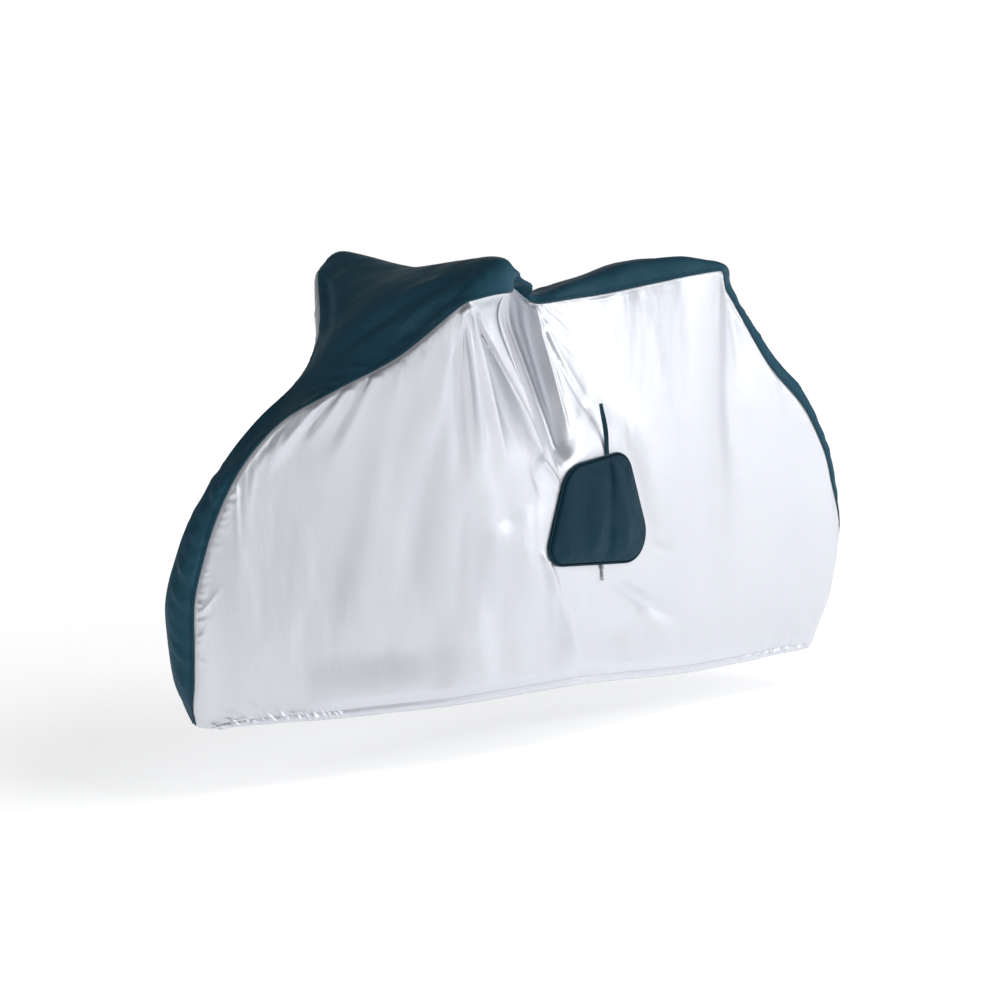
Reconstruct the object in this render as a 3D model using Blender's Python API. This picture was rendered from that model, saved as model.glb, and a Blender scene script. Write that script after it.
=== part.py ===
"""Bicycle cover: a hollow fitted cover of three cloth panels with a stow pouch on one side.

Metres, +Z up. +X runs from the front hem to the rear hem, and -Y is the side with the pouch.
The origin is on the inner face of the top, where the cover hangs from what it covers.

The cloth is one surface P(s, v). s runs along the cover through the stations below, from the
front hem corner to the rear hem corner. v runs down one side: 0 is the ridge, 1 the shoulder,
2 the widest line, 3 the waist and 4 the hem. The dark top panel ends at the seam's v, and the
two light side panels go on from there to the hem.
"""

import math

import bmesh
import bpy
import numpy as np

# Driving dimensions -----------------------------------------------------------------------
CLOTH = 0.0015            # thickness of one sheet of coated cloth
HEM_CLOTH = 0.0032        # the turned hem with its elastic
HEM_WIDTH = 0.018
SEAM_GAP = 0.0006         # clear space between two pieces that are sewn together
MOUNT_BEHIND_DATUM = 0.880     # the tables measure x from a plumb line near the front
MOUNT_ABOVE_FLOOR = 1.0740     # and z from the floor
HOOD_STEER = math.radians(3.8)   # the hood's near end lies back, its far end forward
HOOD_TILT = math.radians(4.0)    # and its near end lower
HOOD_HEIGHT = (0.60, 1.00)       # both only above these heights, where they fade in,
HOOD_REACH = (0.42, 0.60)        # and forward of these places, where they fade out
SLIM_SHARE = 0.28         # where the shoulder lies between ridge and widest line: slim section
WIDE_SHARE = 0.68         # and wide section
SLIM_TO_WIDE = (0.10, 0.30)      # half widths at which one turns into the other
SLOPE_REACH = 2.0         # how softly the cloth turns at the shoulder and the widest line
HEM_TURN = 0.003          # the step from the cloth to its thicker hem
SHARP_ANGLE = math.radians(40)

NORMAL_STEP = 0.02        # in s and v, for slopes taken from the surface
SPEED_STEP = 0.01
TINY = 1e-9

NEAR = -1
FAR = 1

# Stations along the cover. Each row has the ridge (x, z), the shoulder (y, z), the widest
# line (x, y, z), the hem (x, y, z), how far the waist lies back and bulges out, how much
# higher the far side is and its share of the width, the seam's v on both sides, and the
# number of columns to the next station. y is the near side's.
STATION_COLUMNS = ("name ridge_x ridge_z shoulder_y shoulder_z wide_x wide_y wide_z "
                   "hem_x hem_y hem_z waist_back waist_out far_lift far_width "
                   "near_seam far_seam columns").split()
STATIONS = (
    ("front_corner", -.300, .158, -.020, .157, -.290, -.030, .156, -.262, -.048, .153,
     .000, .000, .000, 1.00, 0.55, 0.55, 2),
    ("front_low", -.337, .262, -.029, .260, -.306, -.044, .255, -.205, -.056, .152,
     .000, .000, .000, 1.00, 1.90, 1.90, 2),
    ("front_middle", -.345, .390, -.033, .390, -.303, -.050, .390, -.125, -.072, .150,
     .000, .002, .000, 0.95, 2.00, 2.00, 2),
    ("front_high", -.310, .520, -.034, .519, -.272, -.051, .515, -.070, -.083, .147,
     .000, .004, .000, 0.88, 2.00, 2.00, 2),
    ("front_top", -.231, .648, -.038, .651, -.207, -.055, .655, -.015, -.092, .145,
     .000, .004, .000, 0.75, 2.00, 2.00, 2),
    ("hood_foot", -.122, .747, -.045, .752, -.115, -.068, .762, .035, -.100, .144,
     .000, .000, .000, 0.60, 2.00, 2.00, 2),
    ("hood_low", -.028, .828, -.070, .829, -.018, -.115, .825, .090, -.108, .143,
     .000, -.006, .000, 0.62, 2.00, 1.95, 2),
    ("hood_high", .060, .950, -.125, .930, .075, -.197, .893, .165, -.120, .142,
     .010, -.012, -.010, 0.88, 2.00, 1.90, 3),
    ("hood_brow", .165, 1.042, -.305, 1.035, .167, -.322, 1.012, .265, -.143, .145,
     .020, -.020, .020, 1.00, 2.00, 1.86, 5),
    ("hood_end", .240, 1.066, -.322, 1.071, .214, -.338, 1.022, .490, -.152, .147,
     .085, -.045, .015, 1.00, 2.00, 2.00, 4),
    ("hood_back", .310, 1.050, -.190, 1.050, .295, -.215, 1.030, .530, -.146, .145,
     .065, .005, .000, 1.00, 2.00, 2.00, 3),
    ("pocket", .395, 1.022, -.045, 1.022, .392, -.055, 1.010, .565, -.142, .142,
     .025, .050, .000, 1.00, 2.00, 2.00, 3),
    ("dip", .500, 1.004, -.055, 1.000, .495, -.075, .985, .610, -.134, .137,
     -.005, .050, .000, 1.00, 2.00, 2.00, 4),
    ("rise", .630, 1.034, -.045, 1.026, .625, -.062, .993, .700, -.115, .126,
     .000, .018, .000, 1.00, 2.00, 2.00, 3),
    ("crown_front", .770, 1.070, -.060, 1.060, .777, -.085, 1.017, .800, -.094, .114,
     .000, .006, .000, 1.00, 2.00, 2.00, 3),
    ("crown", .880, 1.0755, -.080, 1.070, .880, -.102, 1.034, .885, -.081, .107,
     .000, -.002, .000, 1.00, 2.00, 2.00, 2),
    ("crown_tail", 1.008, 1.061, -.070, 1.058, .972, -.090, 1.043, .965, -.070, .104,
     .000, -.002, .000, 1.00, 2.00, 2.00, 2),
    ("drop", 1.060, .990, -.040, .990, 1.022, -.055, .990, 1.035, -.061, .102,
     .000, .000, .000, 1.00, 2.00, 2.00, 2),
    ("rear_slope", 1.170, .858, -.036, .848, 1.145, -.050, .820, 1.100, -.054, .101,
     .000, .000, .000, 1.00, 2.00, 2.00, 2),
    ("rear_high", 1.297, .720, -.034, .710, 1.270, -.048, .690, 1.150, -.049, .102,
     .000, .000, .000, 1.00, 2.00, 2.00, 2),
    ("rear_middle", 1.370, .560, -.032, .555, 1.338, -.045, .545, 1.190, -.046, .102,
     .000, .000, .000, 1.00, 1.95, 1.95, 2),
    ("rear_point", 1.393, .410, -.031, .407, 1.358, -.043, .400, 1.218, -.044, .101,
     .000, .000, .000, 1.00, 1.10, 1.10, 4),
    ("rear_low", 1.368, .240, -.028, .240, 1.338, -.040, .240, 1.240, -.042, .101,
     .000, .000, .000, 1.00, 0.00, 0.00, 2),
    ("rear_corner", 1.292, .099, -.018, .099, 1.284, -.026, .099, 1.258, -.038, .101,
     .000, .000, .000, 1.00, 0.00, 0.00, 0),
)
STATION = {name: np.array([row[i] for row in STATIONS], float)
           for i, name in enumerate(STATION_COLUMNS) if name != "name"}
STATION_INDEX = {row[0]: i for i, row in enumerate(STATIONS)}
TOP_PANEL_END = STATION_INDEX["rear_low"] - 0.25     # its last column, where it is a point

# Main folds of the side panels: start and end (x, z), half width at both, and height, which
# is below zero for a trough. A fold fades in and out over shares of its length.
FOLD_FADE_IN = (0.0, 0.15)
FOLD_FADE_OUT = (0.55, 1.0)
FOLD_TOP_V = (1.9, 2.3)       # folds begin under the seam
FOLD_HEM_V = (3.85, 4.0)      # and end above the hem
FOLD_LEAST_WIDTH = 0.005
FOLD_COLUMNS = "name side start_x start_z end_x end_z start_width end_width height".split()
FOLDS = (
    ("fan_trough", NEAR, .182, .960, .224, .560, .014, .030, -.010),
    ("fan_ridge", NEAR, .194, .985, .262, .560, .012, .026, .009),
    ("fan_hollow", NEAR, .207, .960, .372, .640, .016, .030, -.014),
    ("crest", NEAR, .210, .990, .430, .640, .014, .024, .014),
    ("crest_foot", NEAR, .432, .440, .530, .190, .018, .030, .008),
    ("pouch_trough", NEAR, .585, .385, .905, .205, .016, .040, -.014),
    ("front_soft", NEAR, .060, .700, .100, .250, .030, .050, .006),
    ("middle_soft", NEAR, .300, .420, .345, .160, .026, .034, -.007),
    ("rear_soft", NEAR, .980, .860, 1.120, .420, .040, .060, -.005),
    ("fan_trough_far", FAR, .150, .960, .180, .520, .014, .030, -.012),
    ("crest_far", FAR, .180, .990, .420, .420, .014, .030, .013),
    ("fan_hollow_far", FAR, .180, .940, .300, .520, .016, .030, -.012),
    ("rear_soft_far", FAR, .620, .900, .900, .300, .026, .050, -.010),
    ("front_soft_far", FAR, -.020, .700, .060, .220, .030, .045, .007),
)

# Stow pouch: a rounded four-cornered bag sewn flat on the near side. Corners are name, u, w
# and radius in its own plane, u to the rear and w up.
POUCH_CENTRE = (12.20, 3.09)     # (s, v) of its middle
POUCH_PROUD = 0.010              # how far its plane lies out of the cloth's hollow there
POUCH_TURN = math.radians(15.5)  # the plane faces this far to the rear
POUCH_TIP = math.radians(4.0)    # and this far up
POUCH_CORNERS = (
    ("rear_top", .121, .131, .036),
    ("rear_bottom", .166, -.131, .060),
    ("front_bottom", -.184, -.092, .040),
    ("front_top", -.112, .112, .080),
)
REAR_TOP, REAR_BOTTOM, FRONT_BOTTOM, FRONT_TOP = (
    dict(zip(("name", "u", "w", "radius"), row)) for row in POUCH_CORNERS)
POUCH_CROWN = 0.020
POUCH_RIM_HEIGHT = 0.005
POUCH_BACK_INSET = 0.001
POUCH_PIPING_RADIUS = 0.0024
POUCH_PIPING_SIDES = 6
POUCH_ARC_STEPS = 6
POUCH_RINGS = 4
POUCH_EDGE_FLAT = 0.004    # the cloth lies in the pouch's plane to this far outside its edge,
POUCH_BLEND = 0.060        # is free of it from here on,
POUCH_CLEAR = (0.060, 0.120)   # and rises above it only past this distance

STRAP_WIDTH = 0.011
STRAP_THICKNESS = 0.0024   # two layers of webbing, folded into a loop
STRAP_U = 0.045            # its foot's place along the pouch's upper edge
STRAP_LENGTH = 0.112
STRAP_LEAN = -0.010        # how far its tip lies forward of its foot
STRAP_STAND_OFF = 0.0032
STRAP_TWIST = math.radians(38)
STRAP_STEPS = 8

ZIP_U = 0.000              # the slider's place along the pouch's lower edge
SLIDER_SIZE = (0.008, 0.010, 0.0040)
PULLER_SIZE = (0.0068, 0.0240, 0.0016)
PULLER_HOLE = (0.0032, 0.0060)
PULLER_RIM = 0.0020

LIGHT_CLOTH = (0.60, 0.62, 0.67)
DARK_CLOTH = (0.018, 0.040, 0.060)
METAL = (0.55, 0.56, 0.58)


# The surface -------------------------------------------------------------------------------
def smooth_step(low, high, value):
    """0 below low, 1 above high and a smooth rise between."""
    t = np.clip((value - low) / (high - low), 0.0, 1.0)
    return t * t * (3.0 - 2.0 * t)


def hermite(start, end, start_slope, end_slope, t):
    """Cubic from start to end with the given slopes."""
    return ((2 * t**3 - 3 * t**2 + 1) * start + (t**3 - 2 * t**2 + t) * start_slope
            + (3 * t**2 - 2 * t**3) * end + (t**3 - t**2) * end_slope)


def along(column, s):
    """A table column at s, smooth and without overshoot."""
    values = STATION[column]
    steps = np.diff(values)
    before = steps[:-1]
    after = steps[1:]
    slopes = np.zeros(len(values))
    product = before * after
    same_way = product > 0
    slopes[1:-1][same_way] = 2 * product[same_way] / (before + after)[same_way]
    slopes[0] = steps[0]
    slopes[-1] = steps[-1]
    index = np.clip(np.floor(s).astype(int), 0, len(values) - 2)
    return hermite(values[index], values[index + 1], slopes[index], slopes[index + 1],
                   s - index)


def control_points(s, side):
    """Ridge, shoulder, widest line, waist and hem at s, as an array (5, n, 3)."""
    zero = np.zeros_like(s)
    ridge = np.stack([along("ridge_x", s), zero, along("ridge_z", s)], -1)
    wide = np.stack([along("wide_x", s), along("wide_y", s), along("wide_z", s)], -1)
    hem = np.stack([along("hem_x", s), along("hem_y", s), along("hem_z", s)], -1)
    # A round section has its shoulder near the ridge's x, a square one near the wide line's.
    wideness = smooth_step(*SLIM_TO_WIDE, np.abs(wide[:, 1]))
    share = SLIM_SHARE + (WIDE_SHARE - SLIM_SHARE) * wideness
    shoulder_x = ridge[:, 0] + (wide[:, 0] - ridge[:, 0]) * share
    shoulder = np.stack([shoulder_x, along("shoulder_y", s), along("shoulder_z", s)], -1)
    waist = (wide + hem) / 2
    waist[:, 0] += along("waist_back", s)
    waist[:, 1] -= along("waist_out", s)
    points = np.stack([ridge, shoulder, wide, waist, hem])
    if side == FAR:
        points[:, :, 1] *= -1
        points[1:3, :, 1] *= along("far_width", s)
        points[1:3, :, 2] += along("far_lift", s)
    in_hood = (smooth_step(*HOOD_HEIGHT, points[:, :, 2])
               * (1 - smooth_step(*HOOD_REACH, points[:, :, 0])))
    width = points[:, :, 1] * in_hood
    points[:, :, 0] -= width * math.tan(HOOD_STEER)
    points[:, :, 2] += width * math.tan(HOOD_TILT)
    return points


def unit(vectors):
    return vectors / np.linalg.norm(vectors, axis=-1, keepdims=True)


def plain_surface(s, v, side):
    """The cloth without its folds; s and v have one shape."""
    shape = s.shape
    s = s.ravel()
    v = v.ravel()
    points = control_points(s, side)
    spans = np.diff(points, axis=0)
    lengths = np.linalg.norm(spans, axis=-1) + TINY
    ways = spans / lengths[..., None]
    slopes = np.zeros_like(points)
    slopes[1:4] = unit(ways[:-1] + ways[1:])
    slopes[0] = unit(points[1] * (0.0, 1.0, 0.0))
    slopes[4] = ways[3]
    part = np.clip(np.floor(v).astype(int), 0, 3)
    each = np.arange(len(s))
    # A long span beside a short one takes a slope length from the short one, so the cloth
    # turns tightly at the shoulder and hangs nearly straight below it.
    before = lengths[np.maximum(part - 1, 0), each]
    here = lengths[part, each]
    after = lengths[np.minimum(part + 1, 3), each]
    start_slope = slopes[part, each] * np.minimum(here, SLOPE_REACH * before)[:, None]
    end_slope = slopes[part + 1, each] * np.minimum(here, SLOPE_REACH * after)[:, None]
    place = hermite(points[part, each], points[part + 1, each], start_slope, end_slope,
                    (v - part)[:, None])
    return place.reshape(shape + (3,))


def normals_of(surface, s, v, side):
    """Outward unit normals of a surface function."""
    low_s = np.maximum(s - NORMAL_STEP, 0)
    high_s = np.minimum(s + NORMAL_STEP, len(STATIONS) - 1)
    low_v = np.maximum(v - NORMAL_STEP, 0)
    high_v = np.minimum(v + NORMAL_STEP, 4)
    over_s = surface(high_s, v, side) - surface(low_s, v, side)
    over_v = surface(s, high_v, side) - surface(s, low_v, side)
    return unit(np.cross(over_s, over_v) * side)


def fold_height(place, v, side):
    """Sum of the folds at each place; none on the top panel's middle."""
    total = np.zeros(v.shape)
    for row in FOLDS:
        fold = dict(zip(FOLD_COLUMNS, row))
        if fold["side"] != side:
            continue
        start = np.array((fold["start_x"], fold["start_z"]))
        run = np.array((fold["end_x"], fold["end_z"])) - start
        length = np.linalg.norm(run)
        run = run / length
        offset = place[..., (0, 2)] - start
        t = offset @ run / length
        across = offset[..., 0] * run[1] - offset[..., 1] * run[0]
        width = fold["start_width"] + (fold["end_width"] - fold["start_width"]) * t
        width = np.maximum(width, FOLD_LEAST_WIDTH)
        fade = smooth_step(*FOLD_FADE_IN, t) * (1 - smooth_step(*FOLD_FADE_OUT, t))
        total += fold["height"] * fade * np.exp(-(across / width) ** 2)
    return total * smooth_step(*FOLD_TOP_V, v) * (1 - smooth_step(*FOLD_HEM_V, v))


def folded_surface(s, v, side):
    """The cloth with its folds."""
    place = plain_surface(s, v, side)
    return place + normals_of(plain_surface, s, v, side) * fold_height(place, v, side)[..., None]


# The pouch's plane -------------------------------------------------------------------------
def pouch_frame():
    """Middle and the three directions u (to the rear), w (up) and out."""
    s = np.array([POUCH_CENTRE[0]])
    v = np.array([POUCH_CENTRE[1]])
    out = np.array((math.sin(POUCH_TURN) * math.cos(POUCH_TIP),
                    -math.cos(POUCH_TURN) * math.cos(POUCH_TIP), math.sin(POUCH_TIP)))
    u = np.array((math.cos(POUCH_TURN), math.sin(POUCH_TURN), 0.0))
    middle = plain_surface(s, v, NEAR)[0] + out * POUCH_PROUD
    return middle, u, np.cross(out, u), out


POUCH_MIDDLE, POUCH_U, POUCH_W, POUCH_OUT = pouch_frame()


def rounded_outline(inset):
    """The pouch's edge, moved in by inset: an arc at each corner, clockwise from the rear."""
    corners = np.array([row[1:3] for row in POUCH_CORNERS])
    radii = [row[3] for row in POUCH_CORNERS]
    outline = []
    for i, corner in enumerate(corners):
        to_last = unit(corners[i - 1] - corner)
        to_next = unit(corners[(i + 1) % len(corners)] - corner)
        half = math.acos(np.clip(to_last @ to_next, -1, 1)) / 2
        bisector = unit(to_last + to_next)
        centre = corner + bisector * radii[i] / math.sin(half)
        sweep = math.pi - 2 * half
        first = math.atan2(-bisector[1], -bisector[0]) + sweep / 2
        for step in range(POUCH_ARC_STEPS + 1):
            angle = first - sweep * step / POUCH_ARC_STEPS
            way = np.array((math.cos(angle), math.sin(angle)))
            outline.append(centre + way * (radii[i] - inset))
    return np.array(outline)


def pouch_distance(u, w):
    """Distance outside the pouch's edge, 0 within it."""
    edge = rounded_outline(0.0)
    nearest = np.full(u.shape, np.inf)
    inside = np.zeros(u.shape, bool)
    for i, start in enumerate(edge):
        end = edge[(i + 1) % len(edge)]
        run = end - start
        t = np.clip(((u - start[0]) * run[0] + (w - start[1]) * run[1]) / (run @ run), 0, 1)
        gap = np.hypot(u - start[0] - run[0] * t, w - start[1] - run[1] * t)
        nearest = np.minimum(nearest, gap)
        crosses = (start[1] > w) != (end[1] > w)
        rise = run[1] if run[1] else TINY
        inside ^= crosses & (u < start[0] + run[0] * (w - start[1]) / rise)
    return np.where(inside, 0.0, nearest)


def cloth(s, v, side):
    """The finished outer face: folded, and flat behind the pouch."""
    place = folded_surface(s, v, side)
    if side == FAR:
        return place
    offset = place - POUCH_MIDDLE
    height = offset @ POUCH_OUT
    gap = pouch_distance(offset @ POUCH_U, offset @ POUCH_W)
    height_left = height * smooth_step(POUCH_EDGE_FLAT, POUCH_BLEND, gap)
    height_left = np.where(height_left > 0, height_left * smooth_step(*POUCH_CLEAR, gap),
                           height_left)
    return place + POUCH_OUT * (height_left - height)[..., None]


def to_part(place):
    """From the tables' datum to the part's own frame."""
    return place - np.array((MOUNT_BEHIND_DATUM, 0.0, MOUNT_ABOVE_FLOOR))


# Mesh helpers ------------------------------------------------------------------------------
def plain_material(name, colour, roughness, metallic=0.0):
    material = bpy.data.materials.new(name)
    material.use_nodes = True
    shader = material.node_tree.nodes["Principled BSDF"]
    shader.inputs["Base Color"].default_value = (*colour, 1.0)
    shader.inputs["Roughness"].default_value = roughness
    shader.inputs["Metallic"].default_value = metallic
    material.diffuse_color = (*colour, 1.0)
    return material


def add_object(name, points, faces, material):
    """One closed body from points in the tables' datum."""
    mesh = bpy.data.meshes.new(name)
    mesh.from_pydata([tuple(p) for p in to_part(np.asarray(points))], [], faces)
    shape = bmesh.new()
    shape.from_mesh(mesh)
    bmesh.ops.recalc_face_normals(shape, faces=shape.faces)
    shape.to_mesh(mesh)
    shape.free()
    mesh.materials.append(material)
    mesh.shade_smooth()
    mesh.set_sharp_from_angle(angle=SHARP_ANGLE)
    thing = bpy.data.objects.new(name, mesh)
    bpy.context.scene.collection.objects.link(thing)
    return thing


def sheet_body(outer, inner):
    """Points and faces of a closed sheet between two grids (rows, columns, 3)."""
    rows, columns = outer.shape[:2]
    points = np.concatenate([outer.reshape(-1, 3), inner.reshape(-1, 3)])
    under = rows * columns

    def at(row, column):
        return row * columns + column

    faces = []
    for row in range(rows - 1):
        for column in range(columns - 1):
            corners = (at(row, column), at(row, column + 1),
                       at(row + 1, column + 1), at(row + 1, column))
            # Both faces of the sheet are cut along the same, shorter diagonal, so the inner
            # face never comes through the outer one on a sharp fold.
            across = points[[corners[0], corners[1]]] - points[[corners[2], corners[3]]]
            if across[0] @ across[0] > across[1] @ across[1]:
                corners = corners[1:] + corners[:1]
            for face in (corners[:3], (corners[0], *corners[2:])):
                faces.append(face)
                faces.append(tuple(under + corner for corner in reversed(face)))
    border = ([at(0, column) for column in range(columns)]
              + [at(row, columns - 1) for row in range(1, rows)]
              + [at(rows - 1, column) for column in range(columns - 2, -1, -1)]
              + [at(row, 0) for row in range(rows - 2, 0, -1)])
    for here, there in zip(border, border[1:] + border[:1]):
        faces.append((here, under + here, under + there, there))
    return points, faces


def station_columns(first, last):
    """s of every column from first to last."""
    columns = []
    for index, row in enumerate(STATIONS):
        count = row[-1]
        columns += [index + step / count for step in range(count)]
    columns.append(len(STATIONS) - 1)
    columns = np.array(columns, float)
    return columns[(columns >= first - TINY) & (columns <= last + TINY)]


def seam_v(s, side, shift):
    """The seam's v at s, moved down the cloth by shift metres."""
    seam = along("near_seam" if side == NEAR else "far_seam", s)
    seam = np.maximum(seam, 0.0)
    step = plain_surface(s, seam + SPEED_STEP, side) - plain_surface(s, seam, side)
    return seam + shift * SPEED_STEP / np.linalg.norm(step, axis=-1)


def seam_normals(s, side):
    """Normals on the seam itself, which both panels share, so their edges stay parallel."""
    return normals_of(cloth, s, seam_v(s, side, 0.0), side)


# Panels ------------------------------------------------------------------------------------
SIDE_ROWS = (0.0, 0.05, 0.12, 0.20, 0.29, 0.38, 0.47, 0.56, 0.65, 0.74, 0.83, 0.91)
TOP_ROWS = (0.0, 0.18, 0.36, 0.55, 0.78, 1.0)


def side_panel(name, side, material):
    """A light side panel, from the seam (or the centre seam at the rear) to the hem."""
    s = station_columns(0, len(STATIONS) - 1)
    start = seam_v(s, side, SEAM_GAP / 2)
    waist_to_hem = np.linalg.norm(np.diff(control_points(s, side)[3:], axis=0)[0], axis=-1)
    hem_start = 4 - HEM_WIDTH / waist_to_hem
    rows = [start + (hem_start - start) * share for share in (*SIDE_ROWS, 1.0)]
    rows += [hem_start + HEM_TURN / waist_to_hem, np.full(len(s), 4.0)]
    v = np.array(rows)
    s_grid = np.broadcast_to(s, v.shape)
    outer = cloth(s_grid, v, side)
    normal = normals_of(cloth, s_grid, v, side)
    thickness = np.full(v.shape, CLOTH)
    thickness[-2:] = HEM_CLOTH
    outer[-2:] += normal[-2:] * (HEM_CLOTH - CLOTH) / 2
    normal[0] = seam_normals(s, side)
    inner = outer - normal * thickness[..., None]
    return add_object(name, *sheet_body(outer, inner), material)


def top_panel(name, material):
    """The dark panel from seam to seam: a hood in front and a narrow strip to both ends."""
    s = station_columns(0, TOP_PANEL_END)
    outer_rows = []
    inner_rows = []
    for side, shares in ((NEAR, TOP_ROWS[::-1]), (FAR, TOP_ROWS[1:])):
        edge = seam_v(s, side, -SEAM_GAP / 2)
        v = np.array([edge * share for share in shares])
        s_grid = np.broadcast_to(s, v.shape)
        outer = cloth(s_grid, v, side)
        normal = normals_of(cloth, s_grid, v, side)
        normal[shares.index(1.0)] = seam_normals(s, side)
        outer_rows.append(outer)
        inner_rows.append(outer - normal * CLOTH)
    return add_object(name, *sheet_body(np.concatenate(outer_rows),
                                        np.concatenate(inner_rows)), material)


# Pouch -------------------------------------------------------------------------------------
def on_pouch(u, w, out):
    """A place in the pouch's frame, out metres off the cloth."""
    return POUCH_MIDDLE + POUCH_U * u + POUCH_W * w + POUCH_OUT * out


def rings_body(rings, closing=None):
    """A closed body from a loop of rings; ends are fans when closing is 'caps'."""
    count = len(rings[0])
    points = np.concatenate(rings)
    faces = []
    pairs = list(zip(range(len(rings)), range(1, len(rings))))
    if closing != "caps":
        pairs.append((len(rings) - 1, 0))
    for here, there in pairs:
        for i in range(count):
            j = (i + 1) % count
            faces.append((here * count + i, here * count + j,
                          there * count + j, there * count + i))
    if closing == "caps":
        for ring, order in ((0, 1), (len(rings) - 1, -1)):
            middle = len(points)
            points = np.concatenate([points, [rings[ring].mean(axis=0)]])
            for i in range(count):
                j = (i + 1) % count
                faces.append((middle, ring * count + j, ring * count + i)[::order])
    return points, faces


def pouch_ring(inset, share, out):
    """A ring of points: the outline moved in by inset, then drawn to the middle by share."""
    return np.array([on_pouch(u * share, w * share, out) for u, w in rounded_outline(inset)])


def pouch_back(name, material):
    """The pouch's flat back panel, which is sewn on the cloth."""
    rings = [pouch_ring(POUCH_BACK_INSET, 1.0, SEAM_GAP),
             pouch_ring(POUCH_BACK_INSET, 1.0, SEAM_GAP + CLOTH)]
    return add_object(name, *rings_body(rings, "caps"), material)


def pouch_front(name, material):
    """The crowned front panel, open to the back panel."""
    inset = 2 * POUCH_PIPING_RADIUS + SEAM_GAP
    shares = [1 - ring / POUCH_RINGS for ring in range(POUCH_RINGS)]
    foot = CLOTH + 2 * SEAM_GAP
    outer = [pouch_ring(inset, 1.0, foot)]
    inner = [pouch_ring(inset + CLOTH, 1.0, foot)]
    for share in shares:
        height = POUCH_RIM_HEIGHT + POUCH_CROWN * (1 - share**2)
        outer.append(pouch_ring(inset, share, foot + height))
        inner.append(pouch_ring(inset + CLOTH, share, foot + height - CLOTH))
    rings = inner[::-1] + outer
    return add_object(name, *rings_body(rings, "caps"), material)


def pouch_piping(name, material):
    """The corded edge around the pouch, between its two panels' rims."""
    centre_out = CLOTH + 2 * SEAM_GAP + POUCH_PIPING_RADIUS
    rings = []
    for side in range(POUCH_PIPING_SIDES):
        angle = 2 * math.pi * side / POUCH_PIPING_SIDES
        inset = POUCH_PIPING_RADIUS * (1 + math.cos(angle))
        out = centre_out + POUCH_PIPING_RADIUS * math.sin(angle)
        rings.append(pouch_ring(inset, 1.0, out))
    return add_object(name, *rings_body(rings), material)


def edge_w(u, low, high):
    """Height of the pouch's straight edge between two corners at u."""
    return low["w"] + (high["w"] - low["w"]) * (u - low["u"]) / (high["u"] - low["u"])


def strap_loop(name, material):
    """Webbing folded into a loop, standing up along the cloth from the pouch's top edge."""
    foot_w = edge_w(STRAP_U, FRONT_TOP, REAR_TOP) + SEAM_GAP
    rings = []
    for i in range(STRAP_STEPS + 1):
        share = i / STRAP_STEPS
        turn = STRAP_TWIST * math.sin(math.pi * share) ** 2
        lift = STRAP_STAND_OFF + STRAP_WIDTH / 2 * math.sin(turn)
        ring = []
        for side, depth in ((-1, -1), (1, -1), (1, 1), (-1, 1)):
            half = side * STRAP_WIDTH / 2
            deep = depth * STRAP_THICKNESS / 2
            u = STRAP_U + STRAP_LEAN * share + half * math.cos(turn) - deep * math.sin(turn)
            out = lift + half * math.sin(turn) + deep * math.cos(turn)
            ring.append(on_pouch(u, foot_w + STRAP_LENGTH * share, out))
        rings.append(np.array(ring))
    return add_object(name, *rings_body(rings, "caps"), material)


def box_points(u, w, out, size):
    """Eight corners of a block in the pouch's frame, low ring first."""
    half_u, half_w, half_out = (length / 2 for length in size)
    corners = ((-half_u, -half_w), (half_u, -half_w), (half_u, half_w), (-half_u, half_w))
    return [np.array([on_pouch(u + du, w + dw, out + level) for du, dw in corners])
            for level in (-half_out, half_out)]


def zip_slider(name, material):
    """Slider body, just below the piping."""
    w = edge_w(ZIP_U, FRONT_BOTTOM, REAR_BOTTOM) - SLIDER_SIZE[1] / 2 - SEAM_GAP
    out = SEAM_GAP + SLIDER_SIZE[2] / 2
    return add_object(name, *rings_body(box_points(ZIP_U, w, out, SLIDER_SIZE), "caps"),
                      material)


def zip_puller(name, material):
    """Flat puller with a hole at its foot, hanging from the slider."""
    top = edge_w(ZIP_U, FRONT_BOTTOM, REAR_BOTTOM) - SLIDER_SIZE[1] - 2 * SEAM_GAP
    width, length, thick = PULLER_SIZE
    half_u = width / 2
    hole_u = PULLER_HOLE[0] / 2
    hole_foot = PULLER_RIM - length
    hole_top = hole_foot + PULLER_HOLE[1]
    outline = np.array([(-half_u, 0), (half_u, 0), (half_u, -length), (-half_u, -length)])
    hole = np.array([(-hole_u, hole_top), (hole_u, hole_top),
                     (hole_u, hole_foot), (-hole_u, hole_foot)])
    rings = []
    for loop, out in ((outline, 0), (outline, thick), (hole, thick), (hole, 0)):
        rings.append(np.array([on_pouch(ZIP_U + u, top + w, 2 * SEAM_GAP + out)
                               for u, w in loop]))
    return add_object(name, *rings_body(rings), material)


# Build -------------------------------------------------------------------------------------
for old in list(bpy.data.objects):
    bpy.data.objects.remove(old, do_unlink=True)

silver = plain_material("silver_cloth", LIGHT_CLOTH, 0.42, 0.25)
navy = plain_material("dark_cloth", DARK_CLOTH, 0.55)
webbing = plain_material("dark_webbing", DARK_CLOTH, 0.75)
steel = plain_material("zip_metal", METAL, 0.30, 1.0)

top_panel("top_panel", navy)
side_panel("side_panel_near", NEAR, silver)
side_panel("side_panel_far", FAR, silver)
pouch_back("pouch_back", navy)
pouch_front("pouch_front", navy)
pouch_piping("pouch_piping", webbing)
strap_loop("strap_loop", webbing)
zip_slider("zip_slider", steel)
zip_puller("zip_puller", steel)
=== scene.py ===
"""Bicycle cover: a fitted cover of silver and navy cloth with a stow pouch, in its own frame.

Metres, +Z up. +X runs from the front hem to the rear hem, and -Y is the side with the pouch.
The cloth's tables measure x from a plumb line near the front and z from the floor.
"""
import math

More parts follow.
